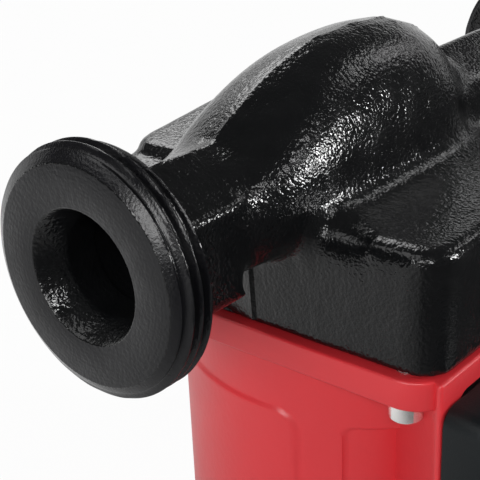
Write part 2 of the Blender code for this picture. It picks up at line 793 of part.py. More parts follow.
POCKET_HALF = FRAME_HALF - FRAME_WALL
POCKET_TOP = FLANGE_TOP - FRAME_BAND
POCKET_FOOT = FRAME_FOOT_Z + FRAME_WALL
pocket = piece(
    "pocket",
    slab(rounded(POCKET_HALF, POCKET_FOOT, POCKET_TOP, BOX_CORNER), FRAME_FLOOR, FRAME_FRONT + FRAME_WALL),
    turn=TO_FRONT,
)
housing_holes = piece(
    "housing_holes",
    merged(
        [
            shifted(rod(SCREW_R + FIT, FLANGE_FOOT - FLANGE_THICK, FLANGE_TOP + FLANGE_THICK, 16), x, y, 0.0)
            for x, y in screw_places
        ]
    ),
)
small_places = [(EARTH_X, EARTH_Z), (FIX_X[0], FIX_Z[0]), (FIX_X[1], FIX_Z[1])]
BOX_BACK = FRAME_FLOOR + FIT
BOX_INSIDE = BOX_BACK + BOX_FLOOR
SMALL_TIP = BOX_INSIDE + FIT - BOX_FLOOR - SMALL_REACH
small_holes = [
    shifted(rod(SMALL_R + FIT, SMALL_TIP - FIT, FRAME_FLOOR + FRAME_WALL, 12), x, z, 0.0)
    for x, z in small_places
]
lead_hole = shifted(rod(LEAD_HOLE_R, STATOR_SEAT_R * 0.8, FRAME_FLOOR + FRAME_WALL, 20), LEAD_X, LEAD_Z, 0.0)
wall_holes = piece("wall_holes", merged([lead_hole] + small_holes), turn=TO_FRONT)
cut(motor_housing, hollow, inside, pocket, housing_holes, wall_holes)

# Socket screws, driven upwards through the flange into the casing
HEAD_TOP = FLANGE_FOOT - FIT
screw_profile = [
    (0.0, JOINT_Z + SCREW_REACH),
    (SCREW_R * 0.8, JOINT_Z + SCREW_REACH),
    (SCREW_R, JOINT_Z + SCREW_REACH - SCREW_R * 0.3),
    (SCREW_R, HEAD_TOP),
    (SCREW_HEAD_R, HEAD_TOP),
    (SCREW_HEAD_R, HEAD_TOP - SCREW_HEAD * 0.9),
    (SCREW_HEAD_R - SCREW_HEAD * 0.1, HEAD_TOP - SCREW_HEAD),
    (0.0, HEAD_TOP - SCREW_HEAD),
]
for number, (x, y) in enumerate(screw_places, 1):
    screw = piece("housing_screw_%d" % number, turned(screw_profile, 16), bright_steel, (x, y, 0.0))
    socket = piece(
        "screw_socket_%d" % number,
        slab(
            polygon(SCREW_SOCKET_R, 6),
            HEAD_TOP - SCREW_HEAD - SCREW_SOCKET,
            HEAD_TOP - SCREW_HEAD + SCREW_SOCKET,
        ),
        place=(x, y, 0.0),
    )
    cut(screw, socket)

# Bearing plate with its hub, and a groove underneath for the O-ring
BEARING_IN_R = SHAFT_R + FIT
BEARING_OUT_R = BEARING_IN_R + BEARING_WALL
HUB_BORE_R = BEARING_OUT_R + FIT
HUB_FOOT = PLATE_TOP - HUB_LENGTH
GROOVE = O_RING_SECTION + 3 * FIT
bearing_plate = piece(
    "bearing_plate",
    turned(
        [
            (HUB_BORE_R, PLATE_TOP),
            (PLATE_R, PLATE_TOP),
            (PLATE_R, PLATE_FOOT),
            (O_RING_R + GROOVE, PLATE_FOOT),
            (O_RING_R + GROOVE, PLATE_FOOT + 2 * O_RING_SECTION + FIT),
            (O_RING_R - GROOVE, PLATE_FOOT + 2 * O_RING_SECTION + FIT),
            (O_RING_R - GROOVE, PLATE_FOOT),
            (HUB_R, PLATE_FOOT),
            (HUB_R, HUB_FOOT),
            (HUB_BORE_R, HUB_FOOT),
        ]
    ),
    stainless,
)
ring_outline = [
    (O_RING_R + x, PLATE_FOOT + O_RING_SECTION + z) for x, z in reversed(polygon(O_RING_SECTION, 6))
]
can_o_ring = piece("can_o_ring", turned(ring_outline, 24), rubber)
front_bearing = piece(
    "front_bearing", tube(BEARING_IN_R, BEARING_OUT_R, HUB_FOOT + FIT, PLATE_TOP - FIT * 3, 24), ceramic
)

# Rotor can: brim under the bearing plate, thin wall, pocket for the rear bearing, neck for the vent plug
POCKET_R = BEARING_OUT_R + FIT
CAN_FLOOR = CAN_END_Z + CAN_WALL
BEARING_FOOT = CAN_FLOOR - REAR_BEARING - 2 * FIT
NECK_FOOT = END_RECESS - FIT / 3
rotor_can = piece(
    "rotor_can",
    turned(
        [
            (CAN_R - CAN_WALL, BRIM_TOP),
            (PLATE_R, BRIM_TOP),
            (PLATE_R, BRIM_FOOT),
            (CAN_R, BRIM_FOOT),
            (CAN_R, CAN_END_Z),
            (POCKET_R + CAN_WALL, CAN_END_Z),
            (POCKET_R + CAN_WALL, BEARING_FOOT - FIT - CAN_WALL),
            (NECK_OUT_R, BEARING_FOOT - FIT - CAN_WALL),
            (NECK_OUT_R, NECK_FOOT),
            (NECK_BORE_R, NECK_FOOT),
            (NECK_BORE_R, BEARING_FOOT - FIT),
            (POCKET_R, BEARING_FOOT - FIT),
            (POCKET_R, CAN_FLOOR),
            (CAN_R - CAN_WALL, CAN_FLOOR),
        ]
    ),
    stainless,
)
rear_bearing = piece(
    "rear_bearing", tube(BEARING_IN_R, BEARING_OUT_R, BEARING_FOOT, BEARING_FOOT + REAR_BEARING, 24), ceramic
)

# Stator laminations and their winding, which runs through the slots
STATOR_TOP = STATOR_FOOT_Z + STATOR_LENGTH
stator_core = piece(
    "stator_core", tube(CAN_R + FIT, STATOR_SEAT_R - FIT, STATOR_FOOT_Z, STATOR_TOP), lamination
)


def slots(inner, outer, width, low, high):
    """One upright bar for each slot round the axis."""
    bars = []
    for i in range(SLOT_COUNT):
        a = 2.0 * math.pi * i / SLOT_COUNT
        c = math.cos(a)
        s = math.sin(a)
        corners = ((inner, -width / 2), (outer, -width / 2), (outer, width / 2), (inner, width / 2))
        bars.append(slab([(r * c - t * s, r * s + t * c) for r, t in corners], low, high))
    return merged(bars)


slot_cuts = piece(
    "slot_cuts",
    slots(
        SLOT_IN_R,
        SLOT_OUT_R,
        SLOT_WIDTH,
        STATOR_FOOT_Z - STATOR_LENGTH * 0.1,
        STATOR_TOP + STATOR_LENGTH * 0.1,
    ),
)
cut(stator_core, slot_cuts)
coil_edge = (WINDING_OUT_R - WINDING_IN_R) * 0.25
stator_winding = piece(
    "stator_winding",
    tube(WINDING_IN_R, WINDING_OUT_R, STATOR_TOP + FIT, STATOR_TOP + FIT + WINDING_RISE, 24, coil_edge),
    copper,
)
lower_turns = piece(
    "lower_turns_shape",
    tube(WINDING_IN_R, WINDING_OUT_R, STATOR_FOOT_Z - FIT - WINDING_DROP, STATOR_FOOT_Z - FIT, 24, coil_edge),
)
slot_bars = piece(
    "slot_bars_shape",
    slots(
        SLOT_IN_R + FIT,
        SLOT_OUT_R - FIT,
        SLOT_WIDTH - 2 * FIT,
        STATOR_FOOT_Z - WINDING_DROP / 2,
        STATOR_TOP + WINDING_RISE / 2,
    ),
)
join(stator_winding, slot_bars, lower_turns)

# Shaft with rotor laminations, thrust ring in its rubber holder, and the impeller with its nut
IMPELLER_FOOT = PLATE_TOP + IMPELLER_GAP
RIM_TOP = IMPELLER_FOOT + IMPELLER_WIDTH
NUT_FOOT = IMPELLER_FOOT + IMPELLER_WIDTH * 1.15
SHAFT_TOP = NUT_FOOT + NUT_HEIGHT + FIT * 4
shaft = piece(
    "shaft",
    turned(
        [
            (0.0, SHAFT_TOP),
            (SHAFT_R * 0.85, SHAFT_TOP),
            (SHAFT_R, SHAFT_TOP - SHAFT_R * 0.15),
            (SHAFT_R, SHAFT_FOOT_Z + SHAFT_R * 0.15),
            (SHAFT_R * 0.85, SHAFT_FOOT_Z),
            (0.0, SHAFT_FOOT_Z),
        ],
        24,
    ),
    stainless,
)
ROTOR_TOP = ROTOR_FOOT_Z + ROTOR_LENGTH
rotor_core = piece("rotor_core", tube(SHAFT_R + FIT, ROTOR_R, ROTOR_FOOT_Z, ROTOR_TOP, 30), lamination)
HOLDER_TOP = HUB_FOOT - THRUST_RING
thrust_holder = piece(
    "thrust_holder",
    tube(SHAFT_R + FIT, THRUST_R, HOLDER_TOP - THRUST_HOLDER, HOLDER_TOP, 24),
    rubber,
)
thrust_ring = piece(
    "thrust_ring", tube(SHAFT_R + FIT, THRUST_R - FIT, HOLDER_TOP + FIT, HUB_FOOT, 24), carbon
)
impeller = piece(
    "impeller",
    turned(
        [
            (SHAFT_R + FIT, NUT_FOOT - FIT),
            (SHAFT_R * 1.7, NUT_FOOT - FIT),
            (SHAFT_R * 1.8, IMPELLER_FOOT + SHROUD * 1.6),
            (IMPELLER_R, IMPELLER_FOOT + SHROUD),
            (IMPELLER_R, IMPELLER_FOOT),
            (SHAFT_R + FIT, IMPELLER_FOOT),
        ]
    ),
    plastic_wheel,
)
SKIRT_TOP = CHAMBER_TOP + SKIRT_LAP
front_shroud = piece(
    "front_shroud_shape",
    turned(
        [
            (SKIRT_R - SKIRT_WALL, SKIRT_TOP),
            (SKIRT_R, SKIRT_TOP),
            (SKIRT_R, CHAMBER_TOP - SHROUD),
            (SKIRT_R * 1.2, RIM_TOP + SHROUD * 1.8),
            (IMPELLER_R, RIM_TOP),
            (IMPELLER_R, RIM_TOP - SHROUD),
            (SKIRT_R * 1.1, RIM_TOP + SHROUD * 0.6),
            (SKIRT_R - SKIRT_WALL, CHAMBER_TOP - SHROUD * 1.6),
        ]
    ),
)


def vane(start):
    """One backward-curved vane between the shrouds, as upright columns."""
    sections = []
    for i in range(7):
        part = i / 6
        radius = SKIRT_R * 0.95 + (IMPELLER_R - SKIRT_R * 0.95 - SHROUD * 0.4) * part
        a = start - VANE_SWEEP * part
        top = RIM_TOP + SHROUD * (1.2 * (1.0 - part) - 0.6)
        low = IMPELLER_FOOT + SHROUD * 0.5
        across = (math.cos(a + 0.6), math.sin(a + 0.6))
        x = radius * math.cos(a)
        y = radius * math.sin(a)
        dx = across[0] * VANE_THICK / 2
        dy = across[1] * VANE_THICK / 2
        inner = (x - dx, y - dy)
        outer = (x + dx, y + dy)
        sections.append([(*inner, low), (*outer, low), (*outer, top), (*inner, top)])
    return loft(sections)


vanes = piece("vanes_shape", merged([vane(2.0 * math.pi * i / VANES) for i in range(VANES)]))
join(impeller, vanes, front_shroud)
impeller_nut = piece("impeller_nut", slab(polygon(NUT_R, 6), NUT_FOOT, NUT_FOOT + NUT_HEIGHT), brass)
cut(impeller_nut, piece("nut_bore", rod(SHAFT_R + FIT, NUT_FOOT - NUT_HEIGHT, NUT_FOOT + 2 * NUT_HEIGHT, 24)))

# Motor end: bare plate, vent plug with its slot, and the seal under the plug's head
SEAL_TOP = NECK_FOOT - FIT
PLUG_TOP = SEAL_TOP - SEAL_THICK - FIT
vent_seal = piece(
    "vent_seal", tube(PLUG_THREAD_R + FIT, NECK_OUT_R, SEAL_TOP - SEAL_THICK, SEAL_TOP, 24), rubber
)
vent_plug = piece(
    "vent_plug",
    turned(
        [
            (0.0, PLUG_TOP + PLUG_REACH),
            (PLUG_THREAD_R * 0.9, PLUG_TOP + PLUG_REACH),
            (PLUG_THREAD_R, PLUG_TOP + PLUG_REACH - PLUG_THREAD_R * 0.1),
            (PLUG_THREAD_R, PLUG_TOP),
            (PLUG_HEAD_R, PLUG_TOP),
            (PLUG_HEAD_R, PLUG_TOP - PLUG_HEAD * 0.7),
            (PLUG_HEAD_R - PLUG_HEAD * 0.3, PLUG_TOP - PLUG_HEAD),
            (0.0, PLUG_TOP - PLUG_HEAD),
        ],
        24,
    ),
    brass,
)
driver_slot = piece(
    "driver_slot",
    slab(
        [
            (-PLUG_HEAD_R * 0.85, -PLUG_SLOT / 2),
            (PLUG_HEAD_R * 0.85, -PLUG_SLOT / 2),
            (PLUG_HEAD_R * 0.85, PLUG_SLOT / 2),
            (-PLUG_HEAD_R * 0.85, PLUG_SLOT / 2),
        ],
        PLUG_TOP - PLUG_HEAD * 2,
        PLUG_TOP - PLUG_HEAD * 0.4,
    ),
)
cut(vent_plug, driver_slot)
end_plate = piece(
    "end_plate",
    tube(PLUG_HEAD_R + RUN, END_RECESS_R - FIT, END_RECESS - FIT - END_PLATE, END_RECESS - FIT),
    aluminium,
)

# Terminal box: a plug in the pocket of the housing, and a tray in front that covers the frame's edge
BOX_REAR = FRAME_FRONT + FIT
BOX_RIM = BOX_REAR + BOX_DEPTH
ROOF_FALL = BOX_DEPTH * BOX_SLOPE
terminal_box = piece(
    "terminal_box",
    loft(
        [
            raised(rounded(BOX_HALF, BOX_FOOT_Z, BOX_TOP_Z, BOX_CORNER), BOX_REAR),
            raised(rounded(BOX_HALF, BOX_FOOT_Z, BOX_TOP_Z - ROOF_FALL, BOX_CORNER), BOX_RIM),
        ]
    ),
    black_plastic,
    turn=TO_FRONT,
)
PLUG_HALF = POCKET_HALF - FIT
box_plug = piece(
    "box_plug_shape",
    slab(
        rounded(PLUG_HALF, POCKET_FOOT + FIT, POCKET_TOP - FIT * 4, BOX_CORNER),
        BOX_BACK,
        BOX_REAR + BOX_FLOOR / 2,
    ),
    turn=TO_FRONT,
)
join(terminal_box, box_plug)
TRAY_TOP = BOX_TOP_Z - ROOF_FALL - BOX_WALL
box_space = piece(
    "box_space",
    slab(
        rounded(PLUG_HALF - BOX_WALL, POCKET_FOOT + BOX_WALL, TRAY_TOP, BOX_CORNER / 2),
        BOX_INSIDE,
        BOX_RIM + BOX_WALL,
    ),
    turn=TO_FRONT,
)
tray_space = piece(
    "tray_space",
    slab(
        rounded(BOX_HALF - BOX_WALL, BOX_FOOT_Z + BOX_WALL, TRAY_TOP, BOX_CORNER / 2),
        BOX_REAR + BOX_FLOOR,
        BOX_RIM + BOX_WALL * 2,
    ),
    turn=TO_FRONT,
)
cut(terminal_box, box_space, tray_space)
cover_places = [(-COVER_SCREW_X, COVER_SCREW_Z), (COVER_SCREW_X, COVER_SCREW_Z)]
for number, (x, z) in enumerate(cover_places, 1):
    boss = piece(
        "boss_shape_%d" % number,
        shifted(rod(BOSS_R, BOX_INSIDE - BOX_FLOOR / 2, BOX_RIM - FIT, 20), x, z, 0.0),
        turn=TO_FRONT,
    )
    join(terminal_box, boss)
GASKET_MID = BOX_HALF - BOX_WALL / 2
GASKET_FOOT = BOX_FOOT_Z + BOX_WALL / 2
GASKET_TOP = BOX_TOP_Z - ROOF_FALL - BOX_WALL / 2


def frame_ring(half, low, high, corner, width, near, far):
    """A flat ring of rounded-rectangle form."""
    shape = bmesh.new()
    rows = []
    for grow, height in ((width / 2, near), (width / 2, far), (-width / 2, far), (-width / 2, near)):
        outline = rounded(half + grow, low - grow, high + grow, corner + grow)
        rows.append([shape.verts.new((x, y, height)) for x, y in outline])
    count = len(rows[0])
    for a in range(4):
        b = (a + 1) % 4
        for i in range(count):
            j = (i + 1) % count
            shape.faces.new((rows[a][i], rows[a][j], rows[b][j], rows[b][i]))
    return shape


groove_shape = piece(
    "gasket_groove",
    frame_ring(
        GASKET_MID,
        GASKET_FOOT,
        GASKET_TOP,
        BOX_CORNER - BOX_WALL / 2,
        COVER_GASKET + 2 * FIT,
        BOX_RIM - COVER_GASKET_DEEP,
        BOX_RIM + COVER_GASKET_DEEP,
    ),
    turn=TO_FRONT,
)
GLAND_Y = FRAME_FRONT + GLAND_DEEP
gland_hole = piece(
    "gland_hole",
    rod(GLAND_STUB_R + FIT, BOX_HALF - BOX_WALL * 2, BOX_HALF + BOX_WALL, 24),
    place=(0.0, -GLAND_Y, GLAND_Z),
    turn=ALONG_X,
)
floor_holes = piece(
    "floor_holes",
    merged(
        [
            shifted(rod(SMALL_R + FIT, BOX_BACK - BOX_FLOOR, BOX_INSIDE + BOX_FLOOR, 12), x, z, 0.0)
            for x, z in small_places
        ]
        + [shifted(rod(LEAD_HOLE_R, BOX_BACK - BOX_FLOOR, BOX_INSIDE + BOX_FLOOR, 20), LEAD_X, LEAD_Z, 0.0)]
        + [
            shifted(rod(COVER_SCREW_R + FIT, BOX_INSIDE + FIT, BOX_RIM + BOX_WALL, 12), x, z, 0.0)
            for x, z in cover_places
        ]
    ),
    turn=TO_FRONT,
)
cut(terminal_box, groove_shape, gland_hole, floor_holes)

cover_gasket = piece(
    "cover_gasket",
    frame_ring(
        GASKET_MID,
        GASKET_FOOT,
        GASKET_TOP,
        BOX_CORNER - BOX_WALL / 2,
        COVER_GASKET,
        BOX_RIM - COVER_GASKET_DEEP + FIT,
        BOX_RIM + BOX_JOINT - FIT,
    ),
    rubber,
    turn=TO_FRONT,
)

# Cover with a rounded front, an opening for the knob and two sunk screw seats
COVER_REAR = BOX_RIM + BOX_JOINT
COVER_FRONT = COVER_REAR + COVER_DEPTH
COVER_TOP_Z = BOX_TOP_Z - ROOF_FALL
cover_rows = [(COVER_REAR, 0.0), (COVER_FRONT - COVER_ROUND, 0.0)]
for i in range(1, 4):
    a = math.radians(30.0 * i)
    cover_rows.append((COVER_FRONT - COVER_ROUND * (1.0 - math.sin(a)), COVER_ROUND * (1.0 - math.cos(a))))
cover_outer = [
    raised(rounded(BOX_HALF - inset, BOX_FOOT_Z + inset, COVER_TOP_Z - inset, BOX_CORNER), height)
    for height, inset in cover_rows
]
terminal_cover = piece("terminal_cover", loft(cover_outer), black_plastic, turn=TO_FRONT)
COVER_INSIDE = COVER_FRONT - COVER_WALL
cover_space = piece(
    "cover_space",
    loft(
        [
            raised(
                rounded(
                    BOX_HALF - BOX_WALL - inset,
                    BOX_FOOT_Z + BOX_WALL + inset,
                    COVER_TOP_Z - BOX_WALL - inset,
                    BOX_CORNER / 2,
                ),
                height,
            )
            for height, inset in (
                (COVER_REAR - COVER_WALL, 0.0),
                (COVER_INSIDE - COVER_ROUND / 2, 0.0),
                (COVER_INSIDE, COVER_ROUND / 2),
            )
        ]
    ),
    turn=TO_FRONT,
)
KNOB_HOLE_R = KNOB_R + RUN
hole_low = COVER_INSIDE - COVER_WALL
hole_high = COVER_FRONT + COVER_WALL
cover_holes = piece(
    "cover_holes",
    merged(
        [shifted(rod(KNOB_HOLE_R, hole_low, hole_high, 36), KNOB_X, KNOB_Z, 0.0)]
        + [shifted(rod(COVER_SCREW_R + FIT, hole_low, hole_high, 12), x, z, 0.0) for x, z in cover_places]
    ),
    turn=TO_FRONT,
)
head_seats = piece(
    "head_seats",
    merged(
        [
            shifted(rod(COVER_HEAD_R + FIT, COVER_FRONT - COVER_HEAD, hole_high, 20), x, z, 0.0)
            for x, z in cover_places
        ]
    ),
    turn=TO_FRONT,
)
cut(terminal_cover, cover_space, cover_holes, head_seats)
SEAT = COVER_FRONT - COVER_HEAD + FIT
cover_screw_profile = [
    (0.0, SEAT + COVER_HEAD),
    (COVER_HEAD_R * 0.7, SEAT + COVER_HEAD),
    (COVER_HEAD_R, SEAT + COVER_HEAD * 0.6),
    (COVER_HEAD_R, SEAT),
    (COVER_SCREW_R, SEAT),
    (COVER_SCREW_R, BOX_REAR + BOX_FLOOR),
    (0.0, BOX_REAR + BOX_FLOOR),
]


def slotted(name, profile, steps, x, z, top, slot_depth, slot_length, slot_width, material):
    """A screw that points away from the front, with one driver slot across its head."""
    screw = piece(name, turned(profile, steps), material, (x, 0.0, z), TO_FRONT)
    slot = piece(
        name + "_slot",
        slab(
            [
                (-slot_length, -slot_width / 2),
                (slot_length, -slot_width / 2),
                (slot_length, slot_width / 2),
                (-slot_length, slot_width / 2),
            ],
            top - slot_depth,
            top + slot_depth,
        ),
        place=(x, 0.0, z),
        turn=TO_FRONT,
    )
    cut(screw, slot)
    return screw


for number, (x, z) in enumerate(cover_places, 1):
    slotted(
        "cover_screw_%d" % number,
        cover_screw_profile,
        16,
        x,
        z,
        SEAT + COVER_HEAD,
        COVER_HEAD * 0.45,
        COVER_HEAD_R * 2,
        COVER_HEAD_R * 0.28,
        bright_steel,
    )

# Screws in the floor of the box: two that hold it and one for the earth wire
small_profile = [
    (0.0, BOX_INSIDE + FIT + SMALL_HEAD),
    (SMALL_HEAD_R * 0.7, BOX_INSIDE + FIT + SMALL_HEAD),
    (SMALL_HEAD_R, BOX_INSIDE + FIT + SMALL_HEAD * 0.6),
    (SMALL_HEAD_R, BOX_INSIDE + FIT),
    (SMALL_R, BOX_INSIDE + FIT),
    (SMALL_R, SMALL_TIP),
    (0.0, SMALL_TIP),
]
for name, (x, z), material in zip(
    ("earth_screw", "box_screw_1", "box_screw_2"), small_places, (brass, bright_steel, bright_steel)
):
    slotted(
        name,
        small_profile,
        16,
        x,
        z,
        BOX_INSIDE + FIT + SMALL_HEAD,
        SMALL_HEAD * 0.45,
        SMALL_HEAD_R * 2,
        SMALL_HEAD_R * 0.28,
        material,
    )

# Speed switch, and its knob which turns about the switch's own axis
SWITCH_REAR = BOX_INSIDE + FIT
SWITCH_FRONT = SWITCH_REAR + SWITCH_DEEP
speed_switch = piece(
    "speed_switch",
    slab(
        rounded(SWITCH_SIDE / 2, -SWITCH_SIDE / 2, SWITCH_SIDE / 2, SWITCH_SIDE * 0.08, 2),
        SWITCH_REAR,
        SWITCH_FRONT,
    ),
    cream_plastic,
    place=(KNOB_X, 0.0, KNOB_Z),
    turn=TO_FRONT,
)
DISC_FRONT = COVER_FRONT + KNOB_PROUD * 0.1
KNOB_TOP = COVER_FRONT + KNOB_PROUD
speed_knob = piece(
    "speed_knob",
    turned(
        [
            (0.0, DISC_FRONT),
            (KNOB_R * 0.94, DISC_FRONT),
            (KNOB_R, DISC_FRONT - KNOB_R * 0.06),
            (KNOB_R, COVER_INSIDE - COVER_WALL),
            (STEM_R, COVER_INSIDE - COVER_WALL),
            (STEM_R, SWITCH_FRONT + FIT),
            (0.0, SWITCH_FRONT + FIT),
        ],
        36,
    ),
    black_plastic,
    (KNOB_X, 0.0, KNOB_Z),
    TO_FRONT,
)
knob_bar = piece(
    "knob_bar_shape",
    slab(
        rounded(KNOB_BAR / 2, -KNOB_R * 0.88, KNOB_R * 0.88, KNOB_BAR * 0.35, 3),
        DISC_FRONT - KNOB_PROUD * 0.5,
        KNOB_TOP,
    ),
    place=(KNOB_X, 0.0, KNOB_Z),
    turn=TO_FRONT,
)
join(speed_knob, knob_bar)

# Capacitor on the floor of the box, and the terminal block with its three screws
capacitor = piece(
    "capacitor",
    turned(
        [
            (0.0, CAPACITOR_LENGTH / 2),
            (CAPACITOR_R * 0.9, CAPACITOR_LENGTH / 2),
            (CAPACITOR_R, CAPACITOR_LENGTH / 2 - CAPACITOR_R * 0.1),
            (CAPACITOR_R, CAPACITOR_R * 0.1 - CAPACITOR_LENGTH / 2),
            (CAPACITOR_R * 0.9, -CAPACITOR_LENGTH / 2),
            (0.0, -CAPACITOR_LENGTH / 2),
        ],
        28,
    ),
    grey_plastic,
    (CAPACITOR_X, -(BOX_INSIDE + FIT + CAPACITOR_R), CAPACITOR_Z),
    ALONG_X,
)
BLOCK_REAR = BOX_INSIDE + FIT
BLOCK_FRONT = BLOCK_REAR + BLOCK_DEEP
terminal_block = piece(
    "terminal_block",
    slab(
        rounded(BLOCK_LENGTH / 2, -BLOCK_HEIGHT / 2, BLOCK_HEIGHT / 2, BLOCK_HEIGHT * 0.08, 2),
        BLOCK_REAR,
        BLOCK_FRONT,
    ),
    cream_plastic,
    place=(BLOCK_X, 0.0, BLOCK_Z),
    turn=TO_FRONT,
)
pole_places = [-POLE_STEP, 0.0, POLE_STEP]
POLE_SEAT = BLOCK_FRONT - POLE_HEAD * 1.6
POLE_TIP = POLE_SEAT - POLE_HEAD * 2.4
pole_wells = piece(
    "pole_wells",
    merged(
        [shifted(rod(POLE_R + FIT, POLE_SEAT, BLOCK_FRONT + POLE_HEAD, 16), x, 0.0, 0.0) for x in pole_places]
    ),
    place=(BLOCK_X, 0.0, BLOCK_Z),
    turn=TO_FRONT,
)
pole_threads = piece(
    "pole_threads",
    merged(
        [shifted(rod(POLE_SHANK_R + FIT, POLE_TIP - FIT, BLOCK_FRONT, 12), x, 0.0, 0.0) for x in pole_places]
    ),
    place=(BLOCK_X, 0.0, BLOCK_Z),
    turn=TO_FRONT,
)
wire_ways = piece(
    "wire_ways",
    merged(
        [shifted(rod(WIRE_HOLE_R, -BLOCK_HEIGHT, BLOCK_HEIGHT * 0.25, 16), x, 0.0, 0.0) for x in pole_places]
    ),
    place=(BLOCK_X, -(POLE_TIP - POLE_SHANK_R), BLOCK_Z),
)
cut(terminal_block, pole_wells, pole_threads, wire_ways)
pole_profile = [
    (0.0, POLE_SEAT + FIT + POLE_HEAD),
    (POLE_R, POLE_SEAT + FIT + POLE_HEAD),
    (POLE_R, POLE_SEAT + FIT),
    (POLE_SHANK_R, POLE_SEAT + FIT),
    (POLE_SHANK_R, POLE_TIP),
    (0.0, POLE_TIP),
]
for number, offset in enumerate(pole_places, 1):
    slotted(
        "terminal_screw_%d" % number,
        pole_profile,
        12,
        BLOCK_X + offset,
        BLOCK_Z,
        POLE_SEAT + FIT + POLE_HEAD,
        POLE_HEAD * 0.4,
        POLE_R * 2,
        POLE_R * 0.3,
        brass,
    )

# Grommet in the wall between stator and box, and the winding leads that pass it
GROMMET_R = LEAD_HOLE_R - FIT
GROMMET_SEAT = BOX_INSIDE + FIT
lead_grommet = piece(
    "lead_grommet",
    turned(
        [
            (GROMMET_BORE_R, GROMMET_SEAT + GROMMET_HEAD),
            (GROMMET_HEAD_R, GROMMET_SEAT + GROMMET_HEAD),
            (GROMMET_HEAD_R, GROMMET_SEAT),
            (GROMMET_R, GROMMET_SEAT),
            (GROMMET_R, STATOR_SEAT_R),
            (GROMMET_BORE_R, STATOR_SEAT_R),
        ],
        24,
    ),
    rubber,
    (LEAD_X, 0.0, LEAD_Z),
    TO_FRONT,
)

# Cable gland on the +X wall: locknut inside, body and hexagon outside, rubber seal and cap nut
GLAND_SEAT = BOX_HALF + FIT
HEX_END = GLAND_SEAT + GLAND_HEX
THREAD_END = HEX_END + GLAND_THREAD
LOCK_FRONT = BOX_HALF - BOX_WALL - FIT
STUB_END = LOCK_FRONT - LOCKNUT - FIT * 2
gland_place = (0.0, -GLAND_Y, GLAND_Z)
gland_body = piece(
    "gland_body",
    turned(
        [
            (GLAND_BORE_R, THREAD_END),
            (GLAND_STUB_R, THREAD_END),
            (GLAND_STUB_R, STUB_END),
            (GLAND_BORE_R, STUB_END),
        ],
        24,
    ),
    nickel_brass,
    gland_place,
    ALONG_X,
)
hexagon = piece(
    "gland_hex_shape", slab(polygon(GLAND_HEX_R, 6), GLAND_SEAT, HEX_END), place=gland_place, turn=ALONG_X
)
hex_bore = piece(
    "gland_hex_bore",
    rod((GLAND_BORE_R + GLAND_STUB_R) / 2, GLAND_SEAT - GLAND_HEX, HEX_END + GLAND_HEX, 24),
    place=gland_place,
    turn=ALONG_X,
)
cut(hexagon, hex_bore)
join(gland_body, hexagon)
gland_locknut = piece(
    "gland_locknut",
    slab(polygon(GLAND_HEX_R, 6), LOCK_FRONT - LOCKNUT, LOCK_FRONT),
    nickel_brass,
    gland_place,
    ALONG_X,
)
cut(
    gland_locknut,
    piece(
        "locknut_bore",
        rod(GLAND_STUB_R + FIT, LOCK_FRONT - 2 * LOCKNUT, LOCK_FRONT + LOCKNUT, 24),
        place=gland_place,
        turn=ALONG_X,
    ),
)
SEAL_FOOT = THREAD_END + FIT
SEAL_END = SEAL_FOOT + GLAND_SEAL
gland_seal = piece(
    "gland_seal", tube(GLAND_BORE_R, GLAND_STUB_R, SEAL_FOOT, SEAL_END, 24), rubber, gland_place, ALONG_X
)
CAP_FOOT = HEX_END + FIT * 4
CAP_SHOULDER = SEAL_END + FIT
CAP_END = CAP_SHOULDER + GLAND_LIP
CAP_IN_R = GLAND_STUB_R + FIT
gland_nut = piece(
    "gland_nut",
    turned(
        [
            (GLAND_BORE_R, CAP_END),
            (GLAND_CAP_R * 0.74, CAP_END),
            (CAP_IN_R + GLAND_CAP_WALL, CAP_SHOULDER - GLAND_LIP * 0.3),
            (CAP_IN_R + GLAND_CAP_WALL, CAP_FOOT),
            (CAP_IN_R, CAP_FOOT),
            (CAP_IN_R, CAP_SHOULDER),
            (GLAND_BORE_R, CAP_SHOULDER),
        ],
        24,
    ),
    nickel_brass,
    gland_place,
    ALONG_X,
)
cap_flats = piece(
    "cap_flats_shape",
    slab(polygon(GLAND_CAP_R, 6), CAP_FOOT, CAP_FOOT + GLAND_THREAD * 0.7),
    place=gland_place,
    turn=ALONG_X,
)
cap_bore = piece(
    "cap_flats_bore",
    rod(CAP_IN_R + GLAND_CAP_WALL / 2, CAP_FOOT - GLAND_LIP, CAP_FOOT + GLAND_THREAD, 24),
    place=gland_place,
    turn=ALONG_X,
)
cut(cap_flats, cap_bore)
join(gland_nut, cap_flats)

# Winding leads: one bunch from the end turns through the grommet to the terminal block
lead_route = [
    (LEAD_X, -(STATOR_SEAT_R - LEAD_R), LEAD_Z),
    (LEAD_X, -(GROMMET_SEAT + GROMMET_HEAD), LEAD_Z),
    (LEAD_X, -(GROMMET_SEAT + GROMMET_HEAD + LEAD_R * 3), LEAD_Z - LEAD_R * 3),
    (LEAD_X - LEAD_R, -(GROMMET_SEAT + GROMMET_HEAD + LEAD_R * 2), (LEAD_Z + BLOCK_Z) / 2),
    (BLOCK_X, -(BLOCK_REAR + BLOCK_DEEP * 0.4), BLOCK_Z + BLOCK_HEIGHT / 2 + LEAD_R * 4),
    (BLOCK_X, -(BLOCK_REAR + BLOCK_DEEP * 0.4), BLOCK_Z + BLOCK_HEIGHT / 2 + FIT),
]


